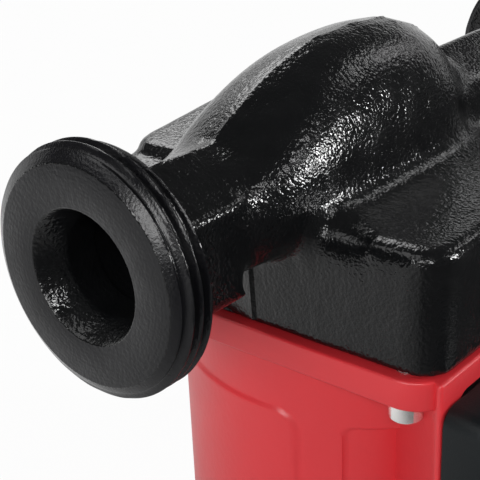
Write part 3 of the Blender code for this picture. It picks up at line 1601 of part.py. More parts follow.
def smooth(points, count):
    """Points along a Catmull-Rom curve through the given ones."""
    line = [points[0]] + list(points) + [points[-1]]
    found = []
    for i in range(1, len(line) - 2):
        for k in range(count):
            t = k / count
            spot = []
            for n in range(3):
                a, b, c, d = (line[i + o][n] for o in (-1, 0, 1, 2))
                spot.append(
                    0.5
                    * (
                        2 * b
                        + (c - a) * t
                        + (2 * a - 5 * b + 4 * c - d) * t * t
                        + (3 * b - a - 3 * c + d) * t * t * t
                    )
                )
            found.append(tuple(spot))
    return found + [tuple(points[-1])]


lead_path = smooth(lead_route, 3)
lead_curve = bpy.data.curves.new("winding_leads", "CURVE")
lead_curve.dimensions = "3D"
lead_curve.bevel_depth = LEAD_R
lead_curve.bevel_resolution = 2
lead_curve.use_fill_caps = True
lead_line = lead_curve.splines.new("POLY")
lead_line.points.add(len(lead_path) - 1)
for point, spot in zip(lead_line.points, lead_path):
    point.co = (*spot, 1.0)
lead_curve.materials.append(coat("lead_sleeve", (0.55, 0.10, 0.06), 0.5, 0.0))
winding_leads = bpy.data.objects.new("winding_leads", lead_curve)
bpy.context.scene.collection.objects.link(winding_leads)
winding_leads.parent = axis
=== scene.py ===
import json
import math

import bmesh
import bpy
from mathutils import Matrix, Vector, noise


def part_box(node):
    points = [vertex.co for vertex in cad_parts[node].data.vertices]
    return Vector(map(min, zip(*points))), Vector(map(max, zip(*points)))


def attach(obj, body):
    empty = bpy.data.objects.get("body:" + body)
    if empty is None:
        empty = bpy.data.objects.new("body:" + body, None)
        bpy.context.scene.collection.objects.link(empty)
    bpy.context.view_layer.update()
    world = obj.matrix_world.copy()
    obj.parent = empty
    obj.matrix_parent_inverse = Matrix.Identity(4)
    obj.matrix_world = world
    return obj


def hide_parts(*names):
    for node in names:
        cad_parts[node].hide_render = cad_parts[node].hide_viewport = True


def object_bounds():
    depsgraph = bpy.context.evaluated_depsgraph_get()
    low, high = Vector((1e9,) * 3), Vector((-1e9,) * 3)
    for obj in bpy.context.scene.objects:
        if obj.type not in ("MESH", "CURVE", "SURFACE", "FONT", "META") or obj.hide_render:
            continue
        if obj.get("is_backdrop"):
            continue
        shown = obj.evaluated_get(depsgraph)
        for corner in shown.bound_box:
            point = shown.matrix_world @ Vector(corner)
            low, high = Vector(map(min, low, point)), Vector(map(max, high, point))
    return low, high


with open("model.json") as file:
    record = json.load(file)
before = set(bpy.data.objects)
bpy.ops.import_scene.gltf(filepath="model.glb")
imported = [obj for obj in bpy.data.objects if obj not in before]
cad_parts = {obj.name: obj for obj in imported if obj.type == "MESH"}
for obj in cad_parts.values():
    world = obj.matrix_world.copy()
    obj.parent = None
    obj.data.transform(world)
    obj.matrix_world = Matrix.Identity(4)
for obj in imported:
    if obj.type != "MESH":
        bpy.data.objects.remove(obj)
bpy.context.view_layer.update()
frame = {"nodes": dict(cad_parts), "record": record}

# Pump casing
# A grey-iron casting, poured in a sand mould that parted along the ridge of the suction duct,
# shot-blasted and coated in gloss black paint, which leaves the pebbled skin of the iron showing.
shaft_low, shaft_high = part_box("shaft")
AXIS_Y = (shaft_low.y + shaft_high.y) / 2
PORT_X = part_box("pump_casing")[1].x
openings = frame["record"]["physics"]["openings"]
suction_way = next(way["box_m"] for way in openings if way["name"] == "suction_port")
PORT_Z = (suction_way[0][2] + suction_way[1][2]) / 2
RING_LENGTH = 0.0082
SKIN_STEP = 0.00080
FILLET_RINGS = 5
FILLET_PASSES = 26
HOLLOW_LIMIT = 0.00005
FIRST_PASSES = 2
SKIN_WAVE = 0.00011
SKIN_WAVE_SIZE = 0.011
FACING = 0.6  # least share of a point's normal along X or Z for it to lie on a side or a top
MISMATCH = 0.0007  # the two halves of the mould met this far apart
MISMATCH_LEAN = 0.19  # and the far half leans away
MISMATCH_MOST = 0.0022
MISMATCH_END_X = -0.040  # on the block's end alone
FLANK_FROM = -0.0590  # the sides of the duct, which the moulder sleeked by hand
FLANK_TO = 0.0330
FLANK_DROP = 0.0040
FLANK_IN = 0.0028
FLANK_OUT = 0.0260
FLANK_PASSES = 80
SHOULDER = Vector((-0.0400, AXIS_Y - 0.0210, PORT_Z - 0.0090))  # where the duct's side runs into the block
SHOULDER_R = 0.0105
SHOULDER_PASSES = 60
SEAM_RISE = 0.00030  # the seam left standing on the ridge
SEAM_HALF = 0.00075
SEAM_WANDER = 0.0006
SEAM_WANDER_SIZE = 0.006
SEAM_END_X = 0.0050
SEAM_LIFT = 0.012  # it stands on what lies this far above the port axis
PEBBLE_SIZE = 0.00078
PEBBLE_DEPTH = 0.00018
SWELL_SIZE = 0.0042
SWELL_DEPTH = 0.00018
IRON_DARK = (0.0028, 0.0030, 0.0033)
IRON_PALE = (0.0052, 0.0054, 0.0058)


def finish(name, colour, roughness, metallic=0.0):
    """A new material; its even values sit on the shader itself."""
    material = bpy.data.materials.new(name)
    material.use_nodes = True
    shader = material.node_tree.nodes["Principled BSDF"]
    shader.inputs["Base Color"].default_value = (*colour, 1.0)
    shader.inputs["Roughness"].default_value = roughness
    shader.inputs["Metallic"].default_value = metallic
    return material


def shader_of(material):
    return material.node_tree.nodes["Principled BSDF"]


def wired(material, kind, sockets, **settings):
    """One more node in a material, with its settings, values and links."""
    node = material.node_tree.nodes.new(kind)
    for name, value in settings.items():
        setattr(node, name, value)
    for name, value in sockets.items():
        if isinstance(value, bpy.types.NodeSocket):
            material.node_tree.links.new(value, node.inputs[name])
        else:
            node.inputs[name].default_value = value
    return node


def speckle(material, size, detail=2.0, stretch=(1.0, 1.0, 1.0)):
    """Noise of the given grain size in metres, drawn out along an axis where asked."""
    place = wired(material, "ShaderNodeTexCoord", {}).outputs["Object"]
    place = wired(material, "ShaderNodeMapping", {"Vector": place, "Scale": stretch}).outputs["Vector"]
    sockets = {"Vector": place, "Scale": 1.0 / size, "Detail": detail}
    return wired(material, "ShaderNodeTexNoise", sockets).outputs["Fac"]


def between(material, driver, low, high):
    """A value that runs from low to high with the driver."""
    sockets = {"Value": driver, "From Min": 0.3, "From Max": 0.7, "To Min": low, "To Max": high}
    return wired(material, "ShaderNodeMapRange", sockets).outputs["Result"]


def blend_of(material, driver, first, second):
    """A colour between two, by the driver."""
    node = wired(material, "ShaderNodeMix", {}, data_type="RGBA")
    material.node_tree.links.new(driver, node.inputs[0])
    node.inputs[6].default_value = (*first, 1.0)
    node.inputs[7].default_value = (*second, 1.0)
    return node.outputs[2]


def relief(material, height, depth, under=None):
    """Bump of the given depth in metres, over another bump where there is one."""
    sockets = {"Height": height, "Distance": depth, "Strength": 1.0}
    if under:
        sockets["Normal"] = under
    return wired(material, "ShaderNodeBump", sockets).outputs["Normal"]


def feed(material, socket, value):
    material.node_tree.links.new(value, shader_of(material).inputs[socket])


def cast_black():
    """Gloss black paint over blasted cast iron: fine pebbles on a slow swell."""
    material = finish("cast_black", (0.004, 0.004, 0.004), 0.14)
    shader_of(material).inputs["Specular IOR Level"].default_value = 0.33
    pebble = speckle(material, PEBBLE_SIZE, 1.6)
    swell = speckle(material, SWELL_SIZE)
    slow = relief(material, swell, SWELL_DEPTH)
    feed(material, "Normal", relief(material, pebble, PEBBLE_DEPTH, slow))
    feed(material, "Roughness", between(material, swell, 0.11, 0.19))
    feed(material, "Base Color", blend_of(material, swell, IRON_DARK, IRON_PALE))
    return material


def closed_copy(node):
    """A node's mesh with its loose triangles joined up."""
    shape = bmesh.new()
    shape.from_mesh(frame["nodes"][node].data)
    bmesh.ops.remove_doubles(shape, verts=shape.verts, dist=1e-6)
    return shape


def worked(shape, prepare):
    """The shape after modifiers that the given function puts on it, as a bmesh."""
    mesh = bpy.data.meshes.new("work")
    shape.to_mesh(mesh)
    shape.free()
    holder = bpy.data.objects.new("work", mesh)
    bpy.context.scene.collection.objects.link(holder)
    helpers = prepare(holder) or []
    result = bmesh.new()
    result.from_object(holder, bpy.context.evaluated_depsgraph_get())
    for helper in [holder] + helpers:
        bpy.data.objects.remove(helper)
    return result


def fresh_skin(holder):
    skin = holder.modifiers.new("skin", "REMESH")
    skin.mode = "VOXEL"
    skin.voxel_size = SKIN_STEP


def soften(shape, points, passes, factor=0.5):
    for _ in range(passes):
        bmesh.ops.smooth_vert(
            shape, verts=points, factor=factor, use_axis_x=True, use_axis_y=True, use_axis_z=True
        )


def hollow_points(shape, limit, rings):
    """Points in the hollow corners of a shape, and those within a few rings of them."""
    found = set()
    for point in shape.verts:
        middle = sum((e.other_vert(point).co for e in point.link_edges), Vector()) / len(point.link_edges)
        if (middle - point.co).dot(point.normal) > limit:
            found.add(point)
    for _ in range(rings):
        found |= {edge.other_vert(point) for point in found for edge in point.link_edges}
    return [point for point in shape.verts if point in found]


def piece(name, shape, coats, body, slot, *stands_for, crease=35):
    """A finished piece that rides on a body and stands for its nodes."""
    mesh = bpy.data.meshes.new(name)
    shape.to_mesh(mesh)
    shape.free()
    mesh.shade_smooth()
    mesh.set_sharp_from_angle(angle=math.radians(crease))
    for coat in coats:
        mesh.materials.append(coat)
    thing = bpy.data.objects.new(name, mesh)
    bpy.context.scene.collection.objects.link(thing)
    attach(thing, body)
    if stands_for:
        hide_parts(*stands_for)
    return thing


cast_coat = cast_black()
casting = closed_copy("pump_casing")
for side in (-1.0, 1.0):
    parted = bmesh.ops.bisect_plane(
        casting,
        geom=casting.verts[:] + casting.edges[:] + casting.faces[:],
        plane_co=(side * (PORT_X - RING_LENGTH), 0.0, 0.0),
        plane_no=(side, 0.0, 0.0),
        clear_outer=True,
    )
    rim = [item for item in parted["geom_cut"] if isinstance(item, bmesh.types.BMEdge)]
    bmesh.ops.bridge_loops(casting, edges=rim)
casting = worked(casting, fresh_skin)
casting.normal_update()
soften(casting, casting.verts[:], FIRST_PASSES)
soften(casting, hollow_points(casting, HOLLOW_LIMIT, FILLET_RINGS), FILLET_PASSES)
flanks = [
    point
    for point in casting.verts
    if FLANK_FROM < point.co.x < FLANK_TO
    and point.co.z > PORT_Z - FLANK_DROP
    and FLANK_IN < abs(point.co.y - AXIS_Y) < FLANK_OUT
]
soften(casting, flanks, FLANK_PASSES)
shoulder = [point for point in casting.verts if (point.co - SHOULDER).length < SHOULDER_R]
soften(casting, shoulder, SHOULDER_PASSES)
casting.normal_update()
for point in casting.verts:
    swell = noise.noise(point.co / SKIN_WAVE_SIZE)
    point.co += point.normal * (swell * SKIN_WAVE)
    behind = point.co.y - AXIS_Y
    on_end = point.normal.x < -FACING and point.co.x < MISMATCH_END_X
    if on_end and behind > 0.0 and point.co.z < PORT_Z:
        point.co.x += min(MISMATCH_LEAN * behind, MISMATCH_MOST) - MISMATCH
    if point.normal.z > FACING and point.co.z > PORT_Z + SEAM_LIFT and point.co.x < SEAM_END_X:
        wander = SEAM_WANDER * noise.noise(Vector((point.co.x / SEAM_WANDER_SIZE, 0.0, 0.0)))
        point.co.z += SEAM_RISE * max(0.0, 1.0 - abs(behind - wander) / SEAM_HALF)
piece("casing_casting", casting, [cast_coat], "pump", "black_cast_iron", "pump_casing")

# Threaded ends of the casing
# Each port is faced and screw-cut on a lathe after casting, then painted with the rest: fine rings
# on the flat face, a right-hand pipe thread outside, and a bore that keeps its cast skin.
THREAD_ROOT_R = 0.0224
THREAD_DEPTH = 0.0015
THREAD_PITCH = 0.002309
THREAD_FROM = 0.0004
CHAMFER = 1.60  # rise of the lead-in per unit of depth
THREAD_TO = 0.0079
THREAD_ROW = 0.00014
CREST_DEPTH = 0.0017
THREAD_START = -0.183  # turns, so that the crests come out where they should on the front
FACE_R = 0.0209
MOUTH_R = 0.0129
BORE_R = 0.0100
RING_STEPS = 192
LIP = 0.00012
CREST_STEEP = 1.28  # the ridge's flanks, the flat of its root and the sharpness of its crest
ROOT_FLAT = 0.14
CREST_POWER = 1.7
RUN_OUT = 0.25  # of a pitch
MOUTH_ROWS = 14
MOUTH_BEND = 0.78  # 1 makes the mouth a plain cone, less rounds it into the bore
MOUTH_DEEP = 0.0056
SLEEVE = 0.0040
SLEEVE_WALL = 0.0004
inner_r = BORE_R - SLEEVE_WALL
mouth_line = [
    (BORE_R, RING_LENGTH),
    (BORE_R, RING_LENGTH + SLEEVE),
    (inner_r, RING_LENGTH + SLEEVE),
]
for i in range(MOUTH_ROWS + 1):
    share = (i / MOUTH_ROWS) ** 2
    depth = MOUTH_DEEP * (1.0 - share**MOUTH_BEND)
    mouth_line.append((inner_r + (MOUTH_R - LIP - inner_r) * share, depth + LIP))
mouth_line += [
    (MOUTH_R + LIP, 0.0),
    (FACE_R - LIP, 0.0),
    (FACE_R + LIP, LIP),
]


def turned_black():
    """Paint over a faced end: fine rings about the port axis."""
    material = finish("turned_black", (0.005, 0.005, 0.006), 0.42)
    shader_of(material).inputs["Specular IOR Level"].default_value = 0.31
    place = wired(material, "ShaderNodeTexCoord", {}).outputs["Object"]
    centre = (0.0, -AXIS_Y, -PORT_Z)
    place = wired(material, "ShaderNodeMapping", {"Vector": place, "Location": centre}).outputs["Vector"]
    sockets = {"Vector": place, "Scale": 420.0, "Distortion": 2.2, "Detail": 2.0}
    rings = wired(
        material, "ShaderNodeTexWave", sockets, wave_type="RINGS", rings_direction="X"
    ).outputs["Fac"]
    orange_peel = relief(material, speckle(material, 0.0009), 0.00014)
    feed(material, "Normal", relief(material, rings, 0.000010, orange_peel))
    feed(material, "Roughness", between(material, speckle(material, 0.004), 0.36, 0.46))
    return material


def thread_black():
    """Paint on the thread, thin and glossy over the cut metal."""
    material = finish("thread_black", (0.004, 0.004, 0.005), 0.24)
    shader_of(material).inputs["Specular IOR Level"].default_value = 0.33
    feed(material, "Normal", relief(material, speckle(material, 0.0005), 0.00006))
    feed(material, "Roughness", between(material, speckle(material, 0.003), 0.18, 0.28))
    return material


def spun(outline, axis_point, axis, steps, place):
    """A closed outline of (radius, height) spun once about an axis."""
    shape = bmesh.new()
    points = [shape.verts.new(place(radius, height)) for radius, height in outline]
    edges = [
        shape.edges.new((points[i - 1], points[i]))
        for i in range(len(points))
        if outline[i - 1][0] > 0.0 or outline[i][0] > 0.0
    ]
    bmesh.ops.spin(
        shape,
        geom=points + edges,
        cent=axis_point,
        axis=axis,
        angle=2.0 * math.pi,
        steps=steps,
        use_merge=True,
    )
    bmesh.ops.remove_doubles(shape, verts=shape.verts, dist=1e-7)
    bmesh.ops.recalc_face_normals(shape, faces=shape.faces)
    return shape


def thread_height(turns):
    """The ridge of the thread, 0 at its root and 1 at its round crest."""
    slope = 1.0 - abs(2.0 * (turns - math.floor(turns)) - 1.0)
    return min(1.0, max(0.0, CREST_STEEP * slope - ROOT_FLAT)) ** CREST_POWER


turned_coat = turned_black()
thread_coat = thread_black()
row_count = round((THREAD_TO - THREAD_FROM) / THREAD_ROW)
thread_line = [(THREAD_ROOT_R, THREAD_FROM + THREAD_ROW * i) for i in range(1, row_count + 1)]
ring_line = mouth_line + thread_line + [(THREAD_ROOT_R, RING_LENGTH)]
for label, side in (("suction", -1.0), ("delivery", 1.0)):
    ring = spun(
        ring_line,
        (0.0, AXIS_Y, PORT_Z),
        (1.0, 0.0, 0.0),
        RING_STEPS,
        lambda radius, depth: (side * (PORT_X - depth), AXIS_Y, PORT_Z + radius),
    )
    for point in ring.verts:
        depth = PORT_X - abs(point.co.x)
        arm = Vector((0.0, point.co.y - AXIS_Y, point.co.z - PORT_Z))
        if THREAD_FROM < depth <= THREAD_TO and arm.length > FACE_R:
            turn = math.atan2(arm.y, arm.z) / (2.0 * math.pi)
            end = min(1.0, (THREAD_TO - depth) / (THREAD_PITCH * RUN_OUT))
            ridge = thread_height((depth - CREST_DEPTH) / THREAD_PITCH + side * turn + THREAD_START)
            crest_r = THREAD_ROOT_R + THREAD_DEPTH * ridge * end
            arm *= min(crest_r, FACE_R + CHAMFER * depth) / THREAD_ROOT_R
            point.co = Vector((point.co.x, AXIS_Y + arm.y, PORT_Z + arm.z))
    ring.normal_update()
    for face in ring.faces:
        middle = face.calc_center_median()
        depth = PORT_X - abs(middle.x)
        radius = math.hypot(middle.y - AXIS_Y, middle.z - PORT_Z)
        if depth < LIP / 2 and radius > MOUTH_R:
            face.material_index = 1
        elif radius > FACE_R:
            face.material_index = 2
    coats = [cast_coat, turned_coat, thread_coat]
    piece(label + "_port_ring", ring, coats, "pump", "black_cast_iron", "pump_casing")

# Wear ring and casing gasket
# A drawn stainless ring pressed into the impeller's eye, and the flat fibre gasket that seals the
# casing against the motor.
CLOUD_SIZE = 14.0  # patches of uneven colour, in grains


def grained(name, first, second, rough, grain, depth, metallic=0.0, stretch=(1.0, 1.0, 1.0)):
    """A finish that wanders between two colours and two degrees of gloss over a fine grain."""
    material = finish(name, first, rough[0], metallic)
    skin = speckle(material, grain, stretch=stretch)
    cloud = speckle(material, grain * CLOUD_SIZE)
    feed(material, "Base Color", blend_of(material, cloud, first, second))
    feed(material, "Roughness", between(material, skin, *rough))
    feed(material, "Normal", relief(material, skin, depth))
    return material


def coat_nodes(coat, *names):
    """Puts a finish on solids that are shown as they are."""
    for name in names:
        mesh = frame["nodes"][name].data
        mesh.materials.clear()
        mesh.materials.append(coat)


RING_DRAWN = (1.0, 1.0, 0.08)  # the grain of a turned or drawn piece runs round the motor axis
stainless_coat = grained(
    "drawn_stainless",
    (0.56, 0.56, 0.55),
    (0.64, 0.64, 0.63),
    rough=(0.20, 0.34),
    grain=0.0006,
    depth=0.000006,
    metallic=1.0,
    stretch=RING_DRAWN,
)
gasket_coat = grained(
    "gasket_fibre", (0.14, 0.16, 0.14), (0.20, 0.22, 0.19), rough=(0.70, 0.88), grain=0.0004, depth=0.00006
)
coat_nodes(stainless_coat, "wear_ring")
coat_nodes(gasket_coat, "casing_gasket")

# Bearing plate, rotor can and rotor
# A stainless plate carries the front ceramic bearing and closes the thin can in which the rotor runs
# wet; a carbon ring in a rubber holder takes its thrust, and a nut holds the moulded impeller.
ceramic_coat = grained(
    "fired_ceramic",
    (0.82, 0.80, 0.73),
    (0.88, 0.86, 0.80),
    rough=(0.28, 0.42),
    grain=0.0005,
    depth=0.000012,
)
carbon_coat = grained(
    "pressed_carbon",
    (0.028, 0.028, 0.030),
    (0.042, 0.042, 0.044),
    rough=(0.40, 0.58),
    grain=0.0004,
    depth=0.00002,
)
rubber_coat = grained(
    "black_rubber",
    (0.014, 0.014, 0.014),
    (0.023, 0.023, 0.022),
    rough=(0.55, 0.72),
    grain=0.0005,
    depth=0.00003,
)
sheet_coat = grained(
    "stacked_sheet",
    (0.17, 0.17, 0.18),
    (0.25, 0.25, 0.26),
    rough=(0.36, 0.55),
    grain=0.0005,
    depth=0.00005,
    metallic=1.0,
    stretch=(0.06, 0.06, 1.0),
)
wheel_coat = grained(
    "moulded_wheel",
    (0.060, 0.060, 0.065),
    (0.082, 0.082, 0.086),
    rough=(0.42, 0.56),
    grain=0.0006,
    depth=0.00002,
)
brass_coat = grained(
    "turned_brass",
    (0.66, 0.43, 0.16),
    (0.74, 0.50, 0.21),
    rough=(0.22, 0.36),
    grain=0.0005,
    depth=0.000008,
    metallic=1.0,
    stretch=RING_DRAWN,
)
coat_nodes(stainless_coat, "bearing_plate", "rotor_can", "shaft")
coat_nodes(ceramic_coat, "front_bearing", "rear_bearing")
coat_nodes(carbon_coat, "thrust_ring")
coat_nodes(rubber_coat, "thrust_holder", "can_o_ring")
coat_nodes(sheet_coat, "rotor_core")
coat_nodes(wheel_coat, "impeller")
coat_nodes(brass_coat, "impeller_nut")

# Stator
# Punched electrical sheet, stacked and pressed into the housing, wound with enamelled copper wire.
copper_coat = grained(
    "enamelled_copper",
    (0.50, 0.19, 0.075),
    (0.60, 0.26, 0.12),
    rough=(0.24, 0.38),
    grain=0.0004,
    depth=0.00008,
    metallic=1.0,
    stretch=(0.15, 0.15, 1.0),
)
coat_nodes(sheet_coat, "stator_core")
coat_nodes(copper_coat, "stator_winding")

# Motor housing
# A pressure die casting in aluminium, square flange, round barrel and terminal frame in one, with a
# raised panel for a label on the barrel and a hollow beside the frame, stoved in satin red paint.
housing_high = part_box("motor_housing")[1]
FLANGE_HALF = housing_high.x
FLANGE_TOP = housing_high.z
FLANGE_THICK = 0.0067
FLANGE_CORNER = 0.0090
FLANGE_FRONT = 0.0443  # from the motor axis, on the side of the terminal frame
FLANGE_EDGE = 0.0006
BARREL_R = 0.0448
BARREL_STEPS = 360
BARREL_ROW = 0.0005
RIM_ROUND = 0.0027
RIM_STEPS = 8
CORNER_STEPS = 12
BORING_STEPS = 144
BORING_OVER = 1.1  # the boring tool runs out this far past the flange
PANEL_RISE = 0.0007
PANEL = (math.radians(107), math.radians(193), 0.0100, 0.0545, 0.0050)  # angles, heights, corner
HOLLOW_DEPTH = 0.0007
HOLLOW_RUN = 0.0206  # growth of its depth with the square of the angle, towards the frame
HOLLOW = (math.radians(206.5), math.radians(224), 0.0054, 0.0525, 0.0025)
STEP_WIDTH = 0.0011  # breadth of the slope round panel and hollow
FRAME_HALF = 0.0432
FRAME_FRONT = 0.0446
FRAME_BACK = 0.0222
FRAME_FLARE = 0.655
FRAME_FOOT = 0.0080
FRAME_ROUND = 0.0016
POCKET_HALF = 0.0365
POCKET_FLOOR = 0.0418
POCKET_LOW = 0.0115
POCKET_HIGH = 0.0677
POCKET_CORNER = 0.0040
STATOR_SEAT_R = 0.0390
PLATE_SEAT_R = 0.0413
PLATE_SEAT_LOW = 0.0677
END_RECESS_R = 0.0360
END_RECESS = 0.0050
HOUSING_FLOOR = 0.0092
NECK_HOLE_R = 0.0096
SCREW_HOLE_R = 0.0023


def satin_red():
    """Stoved satin red with a faint orange peel and a little unevenness of gloss."""
    material = finish("satin_red", (0.56, 0.024, 0.031), 0.36)
    peel = speckle(material, 0.0016)
    cloud = speckle(material, 0.022)
    feed(material, "Normal", relief(material, peel, 0.00005))
    feed(material, "Roughness", between(material, cloud, 0.33, 0.41))
    feed(material, "Base Color", blend_of(material, cloud, (0.54, 0.022, 0.029), (0.58, 0.026, 0.033)))
    return material


def panel_share(angle, height, bounds):
    """How far a place on the barrel lies inside a panel with rounded corners, from 0 to 1."""
    start, end, low, high, corner = bounds
    across = abs(angle - (start + end) / 2) * BARREL_R - (end - start) / 2 * BARREL_R + corner
    along = abs(height - (low + high) / 2) - (high - low) / 2 + corner
    outside = math.hypot(max(across, 0.0), max(along, 0.0)) + min(max(across, along), 0.0) - corner
    share = min(1.0, max(0.0, 0.5 - outside / STEP_WIDTH))
    return share * share * (3.0 - 2.0 * share)


def plate(corners, rounding, low, high, edge, steps=8):
    """A flat plate between two heights, its corners rounded in plan and its rims eased."""
    shape = bmesh.new()
    shape.faces.new([shape.verts.new((x, y, low)) for x, y in corners])
    bmesh.ops.bevel(
        shape,
        geom=[v for v, r in zip(shape.verts[:], rounding) if r],
        offset=max(rounding),
        affect="VERTICES",
        segments=steps,
        profile=0.5,
        material=-1,
    )
    grown = bmesh.ops.extrude_face_region(shape, geom=shape.faces[:], use_keep_orig=True)
    top = [item for item in grown["geom"] if isinstance(item, bmesh.types.BMVert)]
    bmesh.ops.translate(shape, verts=top, vec=(0.0, 0.0, high - low))
    bmesh.ops.recalc_face_normals(shape, faces=shape.faces)
    if edge:
        rims = [e for e in shape.edges if abs(e.verts[0].co.z - e.verts[1].co.z) < 1e-9]
        bmesh.ops.bevel(
            shape, geom=rims, offset=edge, affect="EDGES", segments=3, profile=0.5, material=-1
        )
    return shape


def upright(shape):
    """Turns a plate drawn flat so that its height points to the front, -Y."""
    turn = Matrix.Rotation(math.pi / 2, 3, "X")
    bmesh.ops.rotate(shape, verts=shape.verts, cent=(0.0, 0.0, 0.0), matrix=turn)
    return shape


def moved(shape, x, y, z):
    bmesh.ops.translate(shape, verts=shape.verts, vec=(x, y, z))
    return shape


def shaped(shape, *steps):
    """Joins shapes to a shape, or cuts them out of it, in turn."""

    def prepare(holder):
        helpers = []
        for operation, tool in steps:
            mesh = bpy.data.meshes.new("tool")
            tool.to_mesh(mesh)
            tool.free()
            helper = bpy.data.objects.new("tool", mesh)
            bpy.context.scene.collection.objects.link(helper)
            step = holder.modifiers.new("step", "BOOLEAN")
            step.operation = operation
            step.solver = "MANIFOLD"
            step.object = helper
            helpers.append(helper)
        return helpers

    return worked(shape, prepare)


def about_motor(outline, steps):
    """A closed outline of (radius, height) spun about the motor axis."""
    return spun(
        outline,
        (0.0, AXIS_Y, 0.0),
        (0.0, 0.0, 1.0),
        steps,
        lambda radius, height: (radius, AXIS_Y, height),
    )


def peg(radius, low, high, x, y, steps=32):
    """A plain round bar along Z."""
    shape = bmesh.new()
    bmesh.ops.create_cone(
        shape, cap_ends=True, segments=steps, radius1=radius, radius2=radius, depth=high - low
    )
    return moved(shape, x, y, (low + high) / 2)


red_coat = satin_red()
flange_foot = FLANGE_TOP - FLANGE_THICK
barrel_top = flange_foot + FLANGE_THICK / 2
barrel_line = [(NECK_HOLE_R / 2, 0.0), (NECK_HOLE_R / 2, barrel_top)]
row_count = round((barrel_top - RIM_ROUND) / BARREL_ROW)
barrel_long = barrel_top - RIM_ROUND
barrel_line += [(BARREL_R, barrel_top - barrel_long * i / row_count) for i in range(row_count + 1)]
for i in range(1, RIM_STEPS + 1):
    turn = math.radians(90.0 * i / RIM_STEPS)
    barrel_line.append((BARREL_R - RIM_ROUND * (1.0 - math.cos(turn)), RIM_ROUND * (1.0 - math.sin(turn))))
housing = about_motor(barrel_line, BARREL_STEPS)
for point in housing.verts:
    arm = Vector((point.co.x, point.co.y - AXIS_Y))
    if abs(arm.length - BARREL_R) < 1e-5:
        angle = math.atan2(arm.y, arm.x) % (2.0 * math.pi)
        step = PANEL_RISE * panel_share(angle, point.co.z, PANEL)
        deep = HOLLOW_DEPTH + HOLLOW_RUN * max(0.0, angle - HOLLOW[0]) ** 2
        step -= deep * panel_share(angle, point.co.z, HOLLOW)
        arm *= 1.0 + step / BARREL_R
        point.co.x = arm.x
        point.co.y = AXIS_Y + arm.y
flange = plate(
    [
        (-FLANGE_HALF, AXIS_Y - FLANGE_FRONT),
        (FLANGE_HALF, AXIS_Y - FLANGE_FRONT),
        (FLANGE_HALF, AXIS_Y + FLANGE_HALF),
        (-FLANGE_HALF, AXIS_Y + FLANGE_HALF),
    ],
    [FLANGE_CORNER] * 4,
    flange_foot,
    FLANGE_TOP,
    FLANGE_EDGE,
    CORNER_STEPS,
)
frame_back_half = FRAME_HALF - (FRAME_FRONT - FRAME_BACK) * FRAME_FLARE
terminal_frame = plate(
    [
        (-FRAME_HALF, AXIS_Y - FRAME_FRONT),
        (FRAME_HALF, AXIS_Y - FRAME_FRONT),
        (frame_back_half, AXIS_Y - FRAME_BACK),
        (-frame_back_half, AXIS_Y - FRAME_BACK),
    ],
    [FRAME_ROUND, FRAME_ROUND, 0.0, 0.0],
    FRAME_FOOT,
    FLANGE_TOP,
    FLANGE_EDGE,
)
stator_space = about_motor(
    [
        (NECK_HOLE_R / 4, FLANGE_TOP * BORING_OVER),
        (PLATE_SEAT_R, FLANGE_TOP * BORING_OVER),
        (PLATE_SEAT_R, PLATE_SEAT_LOW),
        (STATOR_SEAT_R, PLATE_SEAT_LOW),
        (STATOR_SEAT_R, HOUSING_FLOOR),
        (NECK_HOLE_R, HOUSING_FLOOR),
        (NECK_HOLE_R, END_RECESS),
        (END_RECESS_R, END_RECESS),
        (END_RECESS_R + FLANGE_EDGE / 2, -END_RECESS),
        (NECK_HOLE_R / 4, -END_RECESS),
    ],
    BORING_STEPS,
)
pocket = moved(
    upright(
        plate(
            [
                (-POCKET_HALF, POCKET_LOW),
                (POCKET_HALF, POCKET_LOW),
                (POCKET_HALF, POCKET_HIGH),
                (-POCKET_HALF, POCKET_HIGH),
            ],
            [POCKET_CORNER] * 4,
            POCKET_FLOOR,
            FRAME_FRONT + POCKET_CORNER,
            0.0,
        )
    ),
    0.0,
    AXIS_Y,
    0.0,
)
screw_boxes = [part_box("housing_screw_%d" % number) for number in (1, 2, 3, 4)]
screw_places = [((low.x + high.x) / 2, (low.y + high.y) / 2) for low, high in screw_boxes]
screw_holes = [
    ("DIFFERENCE", peg(SCREW_HOLE_R, flange_foot - FLANGE_THICK, FLANGE_TOP + FLANGE_THICK, x, y))
    for x, y in screw_places
]
housing = shaped(
    housing,
    ("UNION", flange),
    ("UNION", terminal_frame),
    ("DIFFERENCE", stator_space),
    ("DIFFERENCE", pocket),
    *screw_holes,
)
piece("housing_casting", housing, [red_coat], "pump", "red_housing", "motor_housing")

# Socket screws
# Four cap screws in bright zinc, headed and rolled, hold the housing's flange to the casing; their
# heads hang under the flange, with a hexagon socket for the key.
CAP_HEAD_R = 0.0035
CAP_HEAD = 0.0040
CAP_ROUND = 0.0005
CAP_SHANK_R = 0.0020
KEY_R = 0.00173
KEY_DEEP = 0.0022
SCREW_STEPS = 72


def bright_zinc():
    """Bright plating: shiny steel with fine drawn lines and a faint haze."""
    material = finish("bright_zinc", (0.90, 0.89, 0.87), 0.14, 0.82)
    lines = speckle(material, 0.0005, stretch=(1.0, 1.0, 0.06))
    haze = speckle(material, 0.0022)
    feed(material, "Normal", relief(material, lines, 0.000012))
    feed(material, "Roughness", between(material, haze, 0.16, 0.26))
    feed(material, "Base Color", blend_of(material, haze, (0.87, 0.86, 0.84), (0.93, 0.92, 0.90)))
    return material


def quarter(centre, radius, start, steps=5):
    """Points of a quarter round about a centre in an outline, from a start angle in degrees on."""
    turns = [math.radians(start + 90.0 * i / steps) for i in range(steps + 1)]
    return [(centre[0] + radius * math.cos(a), centre[1] + radius * math.sin(a)) for a in turns]


